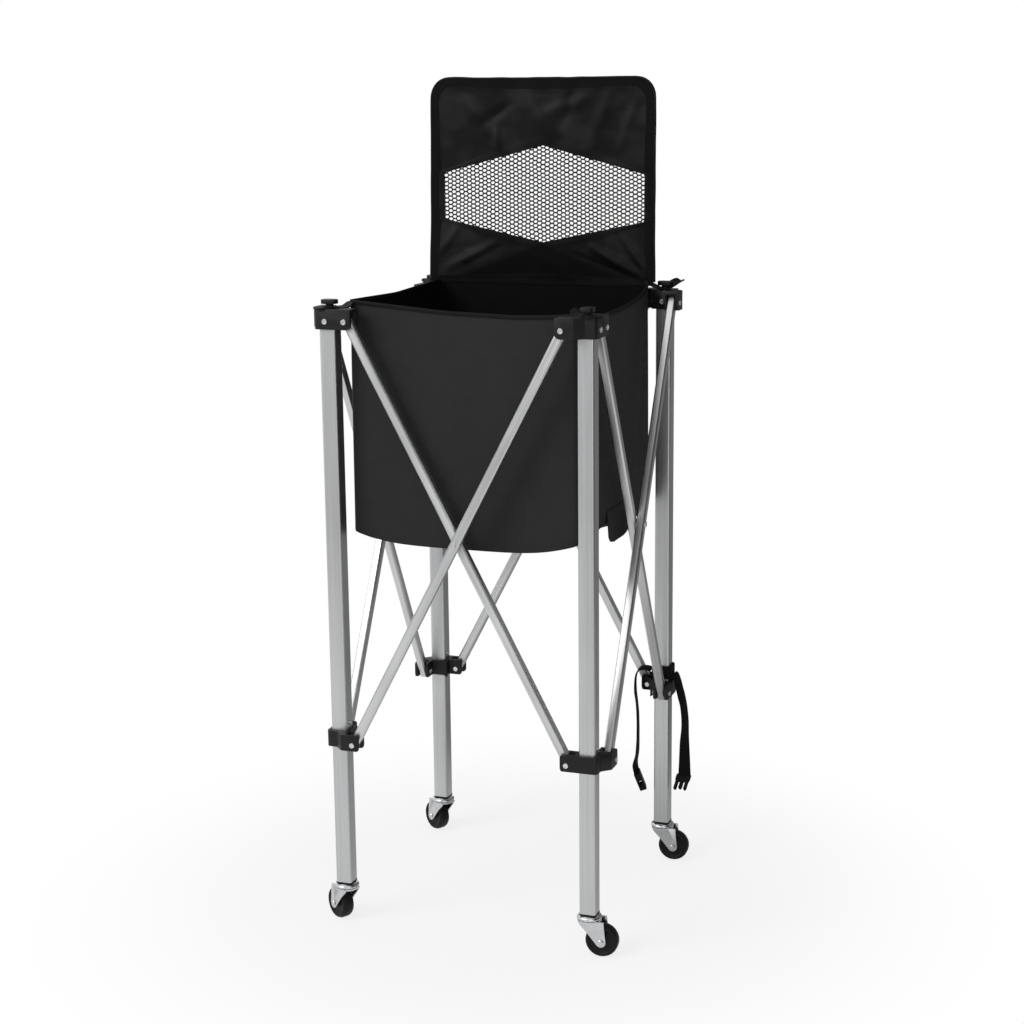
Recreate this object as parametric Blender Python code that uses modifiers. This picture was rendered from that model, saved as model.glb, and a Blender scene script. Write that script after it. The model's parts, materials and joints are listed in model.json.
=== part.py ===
# Folding ball trolley: four square tube legs joined by four scissor pairs, on castors, with a hung
# fabric bag, its zip lid and a tie strap. Metres, +Z up, the bag's front faces -Y, the floor is Z = 0.
# The frame repeats four times round +Z. Face 0 is the front, 1 the right, 2 the back and 3 the left,
# and corner k stands at the left end of face k, seen from outside.

import math

import bmesh
import bpy
from mathutils import Matrix, Vector

MM = 0.001
GAP = 0.3 * MM  # air between pieces that touch

# Legs: square extrusions that run through the lower sleeves
LEG_SPACING = 284 * MM  # between the axes of neighbouring legs
LEG_WIDTH = 18 * MM
LEG_WALL = 1.3 * MM
LEG_CORNER_RADIUS = 2.4 * MM

# Scissor arms: rectangular tubes, one pair in each face
TOP_PIVOT_HEIGHT = 672 * MM
SLEEVE_PIVOT_HEIGHT = 214 * MM
PIVOT_INSET = 21.5 * MM  # from the leg's axis to a pivot, along the face
ARM_WIDTH = 10 * MM
ARM_THICKNESS = 9.4 * MM
ARM_WALL = 1.1 * MM
ARM_CORNER_RADIUS = 1.6 * MM
ARM_BEYOND_PIVOT = 6.8 * MM  # its square ends, past the pivots

# Brackets and sleeves: black mouldings that clasp the arm ends in clevises
SHELL_WALL = 3.7 * MM  # round the leg
LUG_WALL = 3.5 * MM
FLUSH_SLOT_INSET = 0.1 * MM  # of the flush slot's outer side, inside the leg's face
INNER_CORNER_RADIUS = 2 * MM
LUG_BEYOND_PIVOT = 7 * MM
LUG_CORNER_RADIUS = 6 * MM
SHELL_CORNER_RADIUS = 4.5 * MM
STEP_SLOPE_START = 8 * MM  # the stepped lug's outside slopes back to the shell between
STEP_SLOPE_END = -1 * MM  # these distances from the leg's axis
BRACKET_BELOW_PIVOT = 8.5 * MM
BRACKET_ABOVE_PIVOT = 13 * MM
BRACKET_ROOF = 3.5 * MM
SLEEVE_BELOW_PIVOT = 7 * MM
SLEEVE_ABOVE_PIVOT = 11 * MM
SLEEVE_LUG_DROP = 2 * MM  # the clevises hang this far below the sleeve's body
BRACKET_EDGE_RADIUS = 1 * MM  # of the lugs' upper corners
SLEEVE_EDGE_RADIUS = 3 * MM

# Rivets
PIN_RADIUS = 1.7 * MM
RIVET_HEAD_RADIUS = 2.9 * MM
RIVET_HEAD_HEIGHT = 1.2 * MM
STOP_PIN_RADIUS = 1.5 * MM
STOP_PIN_ABOVE_SLEEVE = 7 * MM

# Knobs on the top brackets, which hold the bag's corner loops
KNOB_POST_RADIUS = 4.2 * MM
KNOB_POST_HEIGHT = 4.5 * MM
KNOB_CAP_LENGTH = 17 * MM
KNOB_CAP_WIDTH = 13 * MM
KNOB_CAP_THICKNESS = 4.5 * MM

# Castors
WHEEL_RADIUS = 18 * MM
WHEEL_WIDTH = 14 * MM
WHEEL_SIDES = 24
HUB_RADIUS = 6 * MM
HUB_RECESS = 1.6 * MM
CASTOR_TRAIL = 14 * MM
CASTOR_HEADINGS = (147, 5, 5, 147)  # where each wheel trails, in degrees from +X
AXLE_RADIUS = 2 * MM
AXLE_HEAD_RADIUS = 3.6 * MM
FORK_SHEET = 1.8 * MM
FORK_CLEARANCE = 3.2 * MM  # above the wheel
CHEEK_CLEARANCE = 1 * MM  # beside it
SADDLE_STEP = 0.2 * MM  # of the fork's bridge below its top
CROWN_RADIUS = 13.7 * MM
CROWN_HEIGHT = 4.8 * MM
STEM_RADIUS = 4 * MM
STEM_LENGTH = 22 * MM
STEM_CHAMFER = 1 * MM
PLUG_FLANGE = 1.4 * MM
PLUG_LENGTH = 20 * MM

# Bag: four side panels and a sagging floor, hung inside the scissors by its corners
BAG_CORNER_INSET = 14.5 * MM  # from the legs' axes in to the bag's sides
BAG_SPREAD = 1 * MM  # how much wider each side is at the floor
BAG_RIM_RISE = 5 * MM  # of the rim's corners above the brackets
BAG_RIM_SAGS = (9 * MM, 9 * MM, 0, 4 * MM)  # front, right, back, left: the lid holds the back
BAG_DEPTH = 244 * MM
BAG_FLOOR_SAG = 13 * MM
CLOTH = 1.6 * MM
BAG_STEPS = 8  # straight runs along each side's curved edges
LOOP_WIDTH = 20 * MM
LOOP_BAND = 9 * MM  # width of the cloth round the knob's post
LOOP_THICKNESS = 3 * MM  # folded and sewn

# Side tab: a flap on the right side's lower edge, near the crossing of the arms
TAB_FRONT = -66 * MM
TAB_WIDTH = 66 * MM
TAB_OVERLAP = 17 * MM  # of its top above the floor's corners
TAB_DROP = 26 * MM
TAB_FLARE = 0.3  # how far it leans out, as a share of its drop
TAB_LIFT = 18 * MM  # how far it holds up the bag's lower edge
TAB_LIFT_REACH = 60 * MM

# Lid: a fabric flap hinged on the bag's back rim, with a hexagonal net window and a piped edge
LID_HINGE_ADVANCE = 0.6 * MM  # in front of the bag's back
LID_HINGE_RISE = 1 * MM  # above the rim's corners
LID_LENGTH = 226.5 * MM
LID_OVERHANG = 4.3 * MM  # beyond the bag's sides
LID_TOP_TAPER = 2 * MM
LID_CORNER_RADIUS = 20 * MM
LID_LEAN = 2  # degrees back from upright, where its seam stops it
PIPING_RADIUS = 1.7 * MM
WINDOW_MARGIN = 10.8 * MM  # from the lid's sides
WINDOW_LOW_TIP = 45 * MM
WINDOW_LOW_CORNER = 70 * MM
WINDOW_HIGH_CORNER = 122.5 * MM
WINDOW_HIGH_TIP = 154 * MM
NET_OVERLAP = 5 * MM
NET_THICKNESS = 0.9 * MM
NET_THREAD = 1.8 * MM
NET_PITCH = 13 * MM  # between the middles of neighbouring meshes

# Tie strap round the back right leg
STRAP_WIDTH = 18 * MM
STRAP_THICKNESS = 1.5 * MM
BAND_ABOVE_SLEEVE = 2 * MM
BAND_WIDTH = 16 * MM
BUCKLE_WIDTH = 21 * MM
BUCKLE_THICKNESS = 7 * MM
BUCKLE_WALL = 1.4 * MM
SOCKET_LENGTH = 23 * MM
PRONG_LENGTH = 11 * MM

ROUND_SIDES = 16
PIN_SIDES = 8
HOLE_SIDES = 10

# Sizes that follow from those above
AXLE_HEIGHT = WHEEL_RADIUS * math.cos(math.pi / WHEEL_SIDES)
FORK_TOP = AXLE_HEIGHT + WHEEL_RADIUS + FORK_CLEARANCE + FORK_SHEET
CROWN_BOTTOM = FORK_TOP + GAP
CROWN_TOP = CROWN_BOTTOM + CROWN_HEIGHT
LEG_BOTTOM = CROWN_TOP + PLUG_FLANGE + 2 * GAP
HALF_LEG = LEG_WIDTH / 2
SHELL_HALF = HALF_LEG + GAP + SHELL_WALL
SLOT = ARM_THICKNESS + 2 * GAP
FLUSH_OUT = HALF_LEG - FLUSH_SLOT_INSET  # the flush slot's outer side, from the leg's axis
STEP_OUT = FLUSH_OUT + SLOT  # the stepped slot's outer side
LUG_REACH = PIVOT_INSET + LUG_BEYOND_PIVOT
BRACKET_TOP = TOP_PIVOT_HEIGHT + BRACKET_ABOVE_PIVOT
LEG_TOP = BRACKET_TOP - BRACKET_ROOF - GAP
SLEEVE_TOP = SLEEVE_PIVOT_HEIGHT + SLEEVE_ABOVE_PIVOT
PIVOT_SPAN = LEG_SPACING - 2 * PIVOT_INSET
PIVOT_DROP = TOP_PIVOT_HEIGHT - SLEEVE_PIVOT_HEIGHT
ARM_LENGTH = math.hypot(PIVOT_SPAN, PIVOT_DROP)
ARM_PITCH = math.atan2(PIVOT_DROP, PIVOT_SPAN)  # below the horizontal
ARM_END_CORNER = math.hypot(ARM_BEYOND_PIVOT, ARM_WIDTH / 2)  # from the pivot
ARM_END_REACH = (  # towards the leg
    ARM_BEYOND_PIVOT * math.cos(ARM_PITCH) + ARM_WIDTH / 2 * math.sin(ARM_PITCH)
)
INNER_ARM_DEPTH = FLUSH_OUT - SLOT / 2
OUTER_ARM_DEPTH = STEP_OUT - SLOT / 2
CHEEK_OFFSET = WHEEL_WIDTH / 2 + CHEEK_CLEARANCE + FORK_SHEET / 2
BAG_TOP_HALF = LEG_SPACING / 2 - BAG_CORNER_INSET
BAG_BOTTOM_HALF = BAG_TOP_HALF + BAG_SPREAD
BAG_CORNER_HEIGHT = BRACKET_TOP + BAG_RIM_RISE
BAG_FLOOR_EDGE = BAG_CORNER_HEIGHT - BAG_DEPTH
TAB_TOP = BAG_FLOOR_EDGE + TAB_OVERLAP
LID_HINGE_BACK = BAG_TOP_HALF - LID_HINGE_ADVANCE
LID_HINGE_HEIGHT = BAG_CORNER_HEIGHT + LID_HINGE_RISE
LID_HALF_WIDTH = BAG_TOP_HALF + LID_OVERHANG
WINDOW_HALF_WIDTH = LID_HALF_WIDTH - WINDOW_MARGIN
BAND_BOTTOM = SLEEVE_TOP + BAND_ABOVE_SLEEVE

COLOURS = {
    "aluminium": ((0.62, 0.63, 0.64), 0.35, 0.9),
    "zinc": ((0.72, 0.73, 0.74), 0.25, 1.0),
    "moulding": ((0.022, 0.022, 0.024), 0.45, 0.0),
    "plug": ((0.018, 0.018, 0.018), 0.6, 0.0),
    "tyre": ((0.02, 0.02, 0.021), 0.5, 0.0),
    "fabric": ((0.02, 0.02, 0.022), 0.75, 0.0),
    "lid_fabric": ((0.018, 0.018, 0.02), 0.45, 0.0),
    "net": ((0.015, 0.015, 0.015), 0.7, 0.0),
    "piping": ((0.014, 0.014, 0.014), 0.6, 0.0),
    "webbing": ((0.012, 0.012, 0.012), 0.8, 0.0),
    "buckle": ((0.016, 0.016, 0.017), 0.4, 0.0),
}


def clear_scene():
    for obj in list(bpy.data.objects):
        bpy.data.objects.remove(obj, do_unlink=True)


def material(name, finish):
    colour, roughness, metallic = COLOURS[finish]
    made = bpy.data.materials.new(name)
    made.use_nodes = True
    shader = made.node_tree.nodes["Principled BSDF"]
    shader.inputs["Base Color"].default_value = (*colour, 1)
    shader.inputs["Roughness"].default_value = roughness
    shader.inputs["Metallic"].default_value = metallic
    return made


def temporary(mesh):
    obj = bpy.data.objects.new("work", mesh)
    bpy.context.scene.collection.objects.link(obj)
    return obj


def settled(obj):
    # The object's evaluated shape as a plain mesh, with the working object removed
    bpy.context.view_layer.update()
    graph = bpy.context.evaluated_depsgraph_get()
    mesh = bpy.data.meshes.new_from_object(obj.evaluated_get(graph))
    bpy.data.objects.remove(obj, do_unlink=True)
    shape = bmesh.new()
    shape.from_mesh(mesh)
    bmesh.ops.remove_doubles(shape, verts=shape.verts, dist=0.002 * MM)
    shape.to_mesh(mesh)
    shape.free()
    return mesh


def moved(mesh, matrix):
    mesh.transform(matrix)
    if matrix.determinant() < 0:
        mesh.flip_normals()
    return mesh


def combined(mesh, operation, others):
    target = temporary(mesh)
    tools = []
    for other in others:
        tool = temporary(other)
        tools.append(tool)
        step = target.modifiers.new("step", "BOOLEAN")
        step.operation = operation
        step.solver = "EXACT"
        step.object = tool
    result = settled(target)
    for tool in tools:
        bpy.data.objects.remove(tool, do_unlink=True)
    return result


def cut(mesh, *others):
    return combined(mesh, "DIFFERENCE", others)


def joined(mesh, *others):
    return combined(mesh, "UNION", others)


def common(mesh, *others):
    return combined(mesh, "INTERSECT", others)


def block(low, high):
    shape = bmesh.new()
    low, high = Vector(low), Vector(high)
    centre = Matrix.Translation((low + high) / 2)
    size = Matrix.Diagonal((*(high - low), 1))
    bmesh.ops.create_cube(shape, size=1, matrix=centre @ size)
    mesh = bpy.data.meshes.new("block")
    shape.to_mesh(mesh)
    shape.free()
    return mesh


def turned(profile, sides, closed=False):
    # Turns (radius, height) points round Z. The profile runs down its outer side
    shape = bmesh.new()
    points = [shape.verts.new((radius, 0, height)) for radius, height in profile]
    for first, second in zip(points, points[1:] + points[:1] if closed else points[1:]):
        shape.edges.new((first, second))
    mesh = bpy.data.meshes.new("turned")
    shape.to_mesh(mesh)
    shape.free()
    obj = temporary(mesh)
    screw = obj.modifiers.new("turn", "SCREW")
    screw.steps = sides
    screw.render_steps = sides
    screw.use_merge_vertices = True
    screw.merge_threshold = 0.01 * MM
    return settled(obj)


def sheet(outline, thickness, holes=()):
    # A flat outline in XY, with holes, given half its thickness above and below Z = 0
    curve = bpy.data.curves.new("outline", "CURVE")
    curve.dimensions = "2D"
    curve.fill_mode = "BOTH"
    curve.extrude = thickness / 2
    for ring in (outline, *holes):
        spline = curve.splines.new("POLY")
        spline.points.add(len(ring) - 1)
        for point, (x, y) in zip(spline.points, ring):
            point.co = (x, y, 0, 1)
        spline.use_cyclic_u = True
    obj = bpy.data.objects.new("outline", curve)
    bpy.context.scene.collection.objects.link(obj)
    return settled(obj)


def arc(centre, radius, start, end, steps):
    # Points on a circle between two angles in degrees
    points = []
    for step in range(steps + 1):
        angle = math.radians(start + (end - start) * step / steps)
        x = centre[0] + radius * math.cos(angle)
        y = centre[1] + radius * math.sin(angle)
        points.append((x, y))
    return points


def rounded_rectangle(low, high, radius, steps=3):
    points = []
    corners = (
        (high[0], high[1], 0),
        (low[0], high[1], 90),
        (low[0], low[1], 180),
        (high[0], low[1], 270),
    )
    for x, y, start in corners:
        centre = (
            x - math.copysign(radius, x - (low[0] + high[0]) / 2),
            y - math.copysign(radius, y - (low[1] + high[1]) / 2),
        )
        points += arc(centre, radius, start, start + 90, steps)
    return points


TO_XZ = Matrix.Rotation(math.radians(90), 4, "X")  # XY outline stood up: its Y becomes Z
TO_YZ = Matrix.Rotation(math.radians(90), 4, "Z") @ TO_XZ  # and its X becomes Y
SWAP_XY = Matrix(((0, 1, 0, 0), (1, 0, 0, 0), (0, 0, 1, 0), (0, 0, 0, 1)))


def rivet(low, high, radius, head_radius, head_height):
    # A pin along Z between two faces, with a tapered head sunk a little into each
    crown = head_radius * 0.65
    sunk = head_height * 0.15
    profile = (
        (0, high + head_height),
        (crown, high + head_height),
        (head_radius, high - sunk),
        (radius, high - sunk),
        (radius, low + sunk),
        (head_radius, low + sunk),
        (crown, low - head_height),
        (0, low - head_height),
    )
    return turned(profile, PIN_SIDES)


def across_face(mesh, along, height):
    # Turns a piece on Z so that its +Z points out of face 0, and moves it to a pivot
    return moved(mesh, Matrix.Translation((along, 0, height)) @ TO_XZ)


# The mouldings are made in a corner's own frame: its leg's axis is Z, with the pivots' height as 0,
# face k runs along +X with its outside towards -Y, and the face before it runs along +Y with its
# outside towards -X.


def plan_of_moulding():
    # A square shell with a flush lug along +X and a stepped lug along +Y, both left long
    reach = LUG_REACH + LUG_WALL
    inner_flush = -(FLUSH_OUT - SLOT - LUG_WALL)
    inner_step = -(FLUSH_OUT - LUG_WALL)
    step_face = -(STEP_OUT + LUG_WALL)
    points = arc(
        (-SHELL_HALF + SHELL_CORNER_RADIUS, -SHELL_HALF + SHELL_CORNER_RADIUS),
        SHELL_CORNER_RADIUS,
        180,
        270,
        3,
    )
    points += [(reach, -SHELL_HALF), (reach, inner_flush), (SHELL_HALF, inner_flush)]
    inner = SHELL_HALF - INNER_CORNER_RADIUS
    points += arc((inner, inner), INNER_CORNER_RADIUS, 0, 90, 2)
    points += [(inner_step, SHELL_HALF), (inner_step, reach), (step_face, reach)]
    points += [(step_face, STEP_SLOPE_START), (-SHELL_HALF, STEP_SLOPE_END)]
    return points


def clevis_slots(low, high):
    # The flush slot along +X and the stepped slot along +Y, open at their far ends
    start = PIVOT_INSET - ARM_END_REACH - 2 * GAP
    end = LUG_REACH + LUG_WALL
    flush = block((start, -FLUSH_OUT, low), (end, SLOT - FLUSH_OUT, high))
    step = block((-STEP_OUT, start, low), (-FLUSH_OUT, end, high))
    return flush, step


def pivot_rivets():
    flush = rivet(
        FLUSH_OUT - SLOT - LUG_WALL,
        SHELL_HALF,
        PIN_RADIUS,
        RIVET_HEAD_RADIUS,
        RIVET_HEAD_HEIGHT,
    )
    step = rivet(
        FLUSH_OUT - LUG_WALL,
        STEP_OUT + LUG_WALL,
        PIN_RADIUS,
        RIVET_HEAD_RADIUS,
        RIVET_HEAD_HEIGHT,
    )
    return (
        across_face(flush, PIVOT_INSET, 0),
        moved(across_face(step, PIVOT_INSET, 0), SWAP_XY),
    )


def lug_profile(bottom, top, low_radius, high_radius, lug_bottom):
    # The moulding seen square on to a face: a body with a lug that may hang lower
    left = -(STEP_OUT + LUG_WALL + RIVET_HEAD_HEIGHT)
    drop_start = SHELL_HALF - LUG_WALL
    points = [(left, bottom), (drop_start, bottom)]
    if lug_bottom < bottom:
        points.append((drop_start + (bottom - lug_bottom), lug_bottom))
    low = (LUG_REACH - low_radius, lug_bottom + low_radius)
    points += arc(low, low_radius, 270, 360, 4)
    points += arc((LUG_REACH - high_radius, top - high_radius), high_radius, 0, 90, 2)
    points.append((left, top))
    return points


def moulding(bottom, top, high_radius, lug_bottom):
    span = 4 * LUG_REACH
    body = moved(
        sheet(plan_of_moulding(), top - lug_bottom + span),
        Matrix.Translation((0, 0, (top + lug_bottom) / 2)),
    )
    profile = lug_profile(bottom, top, LUG_CORNER_RADIUS, high_radius, lug_bottom)
    across = moved(sheet(profile, span), TO_XZ)
    along = moved(sheet(profile, span), TO_YZ)
    return common(body, across, along)


def knob():
    foot = BRACKET_ABOVE_PIVOT
    post = turned(
        (
            (0, foot + KNOB_POST_HEIGHT + GAP),
            (KNOB_POST_RADIUS, foot + KNOB_POST_HEIGHT + GAP),
            (KNOB_POST_RADIUS, foot - GAP),
            (0, foot - GAP),
        ),
        12,
    )
    half = (KNOB_CAP_LENGTH / 2, KNOB_CAP_WIDTH / 2)
    cap = sheet(
        rounded_rectangle((-half[0], -half[1]), half, KNOB_CAP_WIDTH / 3),
        KNOB_CAP_THICKNESS,
    )
    height = foot + KNOB_POST_HEIGHT + KNOB_CAP_THICKNESS / 2
    return post, moved(cap, Matrix.Translation((0, 0, height)))


def top_bracket():
    bottom, top = -BRACKET_BELOW_PIVOT, BRACKET_ABOVE_PIVOT
    body = moulding(bottom, top, BRACKET_EDGE_RADIUS, bottom)
    inside = HALF_LEG + GAP
    cavity = block(
        (-inside, -inside, bottom - SHELL_WALL), (inside, inside, top - BRACKET_ROOF)
    )
    slots = clevis_slots(bottom - SHELL_WALL, ARM_END_CORNER + 2 * GAP)
    leg_rivet = rivet(
        -SHELL_HALF, SHELL_HALF, PIN_RADIUS, RIVET_HEAD_RADIUS, RIVET_HEAD_HEIGHT
    )
    body = cut(body, cavity, *slots)
    return joined(
        body,
        *knob(),
        *pivot_rivets(),
        across_face(leg_rivet, 0, 0),
    )


def lower_sleeve():
    # The same moulding with its lugs swapped, its clevises open at the top and the bottom
    bottom, top = -SLEEVE_BELOW_PIVOT, SLEEVE_ABOVE_PIVOT
    lug_bottom = bottom - SLEEVE_LUG_DROP
    body = moulding(bottom, top, SLEEVE_EDGE_RADIUS, lug_bottom)
    inside = HALF_LEG + GAP
    bore = block(
        (-inside, -inside, lug_bottom - SHELL_WALL), (inside, inside, top + SHELL_WALL)
    )
    body = cut(body, bore, *clevis_slots(lug_bottom - SHELL_WALL, top + SHELL_WALL))
    return moved(joined(body, *pivot_rivets()), SWAP_XY)


def leg_tube(stop_along_x):
    half = (HALF_LEG, HALF_LEG)
    bore = (HALF_LEG - LEG_WALL, HALF_LEG - LEG_WALL)
    outside = rounded_rectangle((-half[0], -half[1]), half, LEG_CORNER_RADIUS)
    inside = rounded_rectangle(
        (-bore[0], -bore[1]), bore, max(LEG_CORNER_RADIUS - LEG_WALL, GAP), 1
    )
    tube = moved(
        sheet(outside, LEG_TOP - LEG_BOTTOM, [inside]),
        Matrix.Translation((0, 0, (LEG_TOP + LEG_BOTTOM) / 2)),
    )
    radius = PIN_RADIUS + GAP
    hole = turned(
        ((0, LEG_WIDTH), (radius, LEG_WIDTH), (radius, -LEG_WIDTH), (0, -LEG_WIDTH)),
        HOLE_SIDES,
    )
    tube = cut(tube, across_face(hole, 0, TOP_PIVOT_HEIGHT))
    stop = rivet(
        -HALF_LEG,
        HALF_LEG,
        STOP_PIN_RADIUS,
        STOP_PIN_RADIUS * 1.3,
        RIVET_HEAD_HEIGHT * 0.8,
    )
    stop = across_face(stop, 0, SLEEVE_TOP + STOP_PIN_ABOVE_SLEEVE)
    if stop_along_x:
        stop = moved(stop, Matrix.Rotation(math.radians(90), 4, "Z"))
    return joined(tube, stop)


def leg_plug():
    # A flanged plastic plug in the tube's lower end, bored for the castor's stem
    half = HALF_LEG - LEG_WALL - GAP
    insert = moved(
        sheet(
            rounded_rectangle((-half, -half), (half, half), LEG_CORNER_RADIUS, 1),
            PLUG_LENGTH + 2 * GAP,
        ),
        Matrix.Translation((0, 0, LEG_BOTTOM - GAP + PLUG_LENGTH / 2)),
    )
    edge = (HALF_LEG + GAP, HALF_LEG + GAP)
    flange = moved(
        sheet(rounded_rectangle((-edge[0], -edge[1]), edge, LEG_CORNER_RADIUS), PLUG_FLANGE),
        Matrix.Translation((0, 0, LEG_BOTTOM - GAP - PLUG_FLANGE / 2)),
    )
    radius = STEM_RADIUS + GAP
    low, high = LEG_BOTTOM - 3 * PLUG_FLANGE, LEG_BOTTOM + 2 * PLUG_LENGTH
    bore = turned(((0, high), (radius, high), (radius, low), (0, low)), 12)
    return cut(joined(insert, flange), bore)


def castor_crown():
    # The bright cup that turns on the fork's race, in one piece with its stem
    top, low = CROWN_TOP, CROWN_BOTTOM
    profile = (
        (0, top + STEM_LENGTH),
        (STEM_RADIUS * 0.8, top + STEM_LENGTH),
        (STEM_RADIUS, top + STEM_LENGTH - STEM_CHAMFER),
        (STEM_RADIUS, top),
        (CROWN_RADIUS * 0.72, top),
        (CROWN_RADIUS * 0.93, top - CROWN_HEIGHT * 0.25),
        (CROWN_RADIUS, top - CROWN_HEIGHT * 0.55),
        (CROWN_RADIUS, low + CROWN_HEIGHT * 0.1),
        (CROWN_RADIUS * 0.9, low),
        (0, low),
    )
    return turned(profile, ROUND_SIDES)


def fork_cheek():
    # A pressed cheek that narrows from the crown to a rounded eye at the axle
    eye = AXLE_HEAD_RADIUS * 1.5
    top = FORK_TOP
    drop = top - AXLE_HEIGHT
    outline = [
        (CASTOR_TRAIL + eye * 0.55, top),
        (-CROWN_RADIUS * 0.8, top),
        (-CROWN_RADIUS * 0.7, top - drop * 0.15),
        (-CROWN_RADIUS * 0.45, top - drop * 0.33),
        (-CROWN_RADIUS * 0.07, top - drop * 0.57),
    ]
    outline += arc((CASTOR_TRAIL, AXLE_HEIGHT), eye, 215, 360, 6)
    hole = arc((CASTOR_TRAIL, AXLE_HEIGHT), AXLE_RADIUS + GAP, 0, 324, 9)
    return moved(sheet(outline, FORK_SHEET, [hole]), TO_XZ)


def castor_fork():
    low = FORK_TOP - FORK_SHEET
    race = CROWN_RADIUS * 0.97
    plate = turned(
        (
            (0, FORK_TOP),
            (race, FORK_TOP),
            (race, low),
            (race * 0.9, low - FORK_SHEET / 4),
            (0, low - FORK_SHEET / 4),
        ),
        ROUND_SIDES,
    )
    half = CHEEK_OFFSET
    saddle = block((0, -half, low), (CASTOR_TRAIL * 0.8, half, FORK_TOP - SADDLE_STEP))
    sides = [
        moved(fork_cheek(), Matrix.Translation((0, side * CHEEK_OFFSET, 0))) for side in (-1, 1)
    ]
    return joined(plate, saddle, *sides)


def castor_axle():
    half = CHEEK_OFFSET + FORK_SHEET / 2 + GAP
    pin = rivet(-half, half, AXLE_RADIUS, AXLE_HEAD_RADIUS, RIVET_HEAD_HEIGHT)
    return moved(pin, TO_XZ)


def castor_wheel():
    # A solid tyre with a crowned tread, dished sides and a hub, made on its axle's line
    edge = WHEEL_WIDTH / 2
    radius = WHEEL_RADIUS
    bore = AXLE_RADIUS + GAP
    half = [
        (radius, edge * 0.5),
        (radius * 0.93, edge * 0.93),
        (radius * 0.78, edge),
        (radius * 0.7, edge - HUB_RECESS),
        (HUB_RADIUS, edge - HUB_RECESS),
        (bore, edge),
    ]
    low = [(r, -z) for r, z in half]
    profile = list(reversed(half)) + low
    mesh = turned(profile, WHEEL_SIDES, closed=True)
    # Turned so that a flat of the tread faces down
    phase = Matrix.Rotation(math.pi / WHEEL_SIDES, 4, "Z")
    return moved(mesh, TO_XZ @ phase)


def arm(pin_side):
    # A rectangular tube with square ends, made along +X from its upper pivot, outside towards -Y.
    # pin_side is 1 for the outer arm, which carries the crossing rivet, and 0 for the inner one.
    high = (ARM_WIDTH / 2, ARM_THICKNESS / 2)
    outline = rounded_rectangle((-high[0], -high[1]), high, ARM_CORNER_RADIUS, 1)
    bore = (high[0] - ARM_WALL, high[1] - ARM_WALL)
    inside = rounded_rectangle((-bore[0], -bore[1]), bore, ARM_CORNER_RADIUS - ARM_WALL, 1)
    length = ARM_LENGTH + 2 * ARM_BEYOND_PIVOT
    along_x = Matrix.Translation((ARM_LENGTH / 2, 0, 0)) @ Matrix.Rotation(math.pi / 2, 4, "Y")
    bar = moved(sheet(outline, length, [inside]), along_x)
    radius = PIN_RADIUS + GAP
    drill = ((0, ARM_WIDTH), (radius, ARM_WIDTH), (radius, -ARM_WIDTH), (0, -ARM_WIDTH))
    stations = [0, ARM_LENGTH]
    if not pin_side:
        stations.append(ARM_LENGTH / 2)
    holes = [across_face(turned(drill, HOLE_SIDES), place, 0) for place in stations]
    bar = cut(bar, *holes)
    if pin_side:
        pin = rivet(
            INNER_ARM_DEPTH - OUTER_ARM_DEPTH - ARM_THICKNESS / 2 - GAP,
            ARM_THICKNESS / 2 - GAP,
            PIN_RADIUS,
            RIVET_HEAD_RADIUS,
            RIVET_HEAD_HEIGHT,
        )
        bar = joined(bar, across_face(pin, ARM_LENGTH / 2, 0))
    return bar


def floor_height(x, y, half):
    # The bag's floor hangs from its corners: its edges sag, and its middle a little more
    across = 1 - (x / half) ** 4
    along = 1 - (y / half) ** 4
    sag = BAG_FLOOR_SAG * (across + along - 0.7 * across * along)
    from_tab = (y - TAB_FRONT - TAB_WIDTH / 3) / TAB_LIFT_REACH
    lift = TAB_LIFT * math.exp(-(from_tab**2)) * max(0, x / half) ** 4
    return BAG_FLOOR_EDGE - sag + lift


def drawn_in(mesh):
    # The bag is a little narrower at its rim than at its floor
    for vertex in mesh.vertices:
        rise = (vertex.co.z - BAG_FLOOR_EDGE) / BAG_DEPTH
        narrow = 1 + (BAG_TOP_HALF / BAG_BOTTOM_HALF - 1) * max(0, rise)
        vertex.co.x *= narrow
        vertex.co.y *= narrow
    return mesh


def bag_panel(face):
    # One side of the bag, made as face 0, from its left corner to just short of the next side
    half = BAG_BOTTOM_HALF
    turn = Matrix.Rotation(math.radians(90 * face), 2)
    left, right = -half, half - CLOTH - GAP
    outline = []
    for step in range(BAG_STEPS + 1):
        x = left + (right - left) * step / BAG_STEPS
        outline.append((x, floor_height(*(turn @ Vector((x, -half))), half)))
    for step in range(BAG_STEPS + 1):
        x = right + (left - right) * step / BAG_STEPS
        outline.append((x, BAG_CORNER_HEIGHT - BAG_RIM_SAGS[face] * (1 - (x / half) ** 2)))
    panel = moved(sheet(outline, CLOTH), Matrix.Translation((0, -half + CLOTH / 2, 0)) @ TO_XZ)
    return drawn_in(panel)


def bag_floor():
    half = BAG_BOTTOM_HALF - CLOTH - GAP
    shape = bmesh.new()
    bmesh.ops.create_grid(shape, x_segments=BAG_STEPS, y_segments=BAG_STEPS, size=half)
    for vertex in shape.verts:
        vertex.co.z = floor_height(vertex.co.x, vertex.co.y, BAG_BOTTOM_HALF)
    mesh = bpy.data.meshes.new("floor")
    shape.to_mesh(mesh)
    shape.free()
    obj = temporary(mesh)
    wall = obj.modifiers.new("cloth", "SOLIDIFY")
    wall.thickness = CLOTH
    wall.offset = 1
    return settled(obj)


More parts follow.
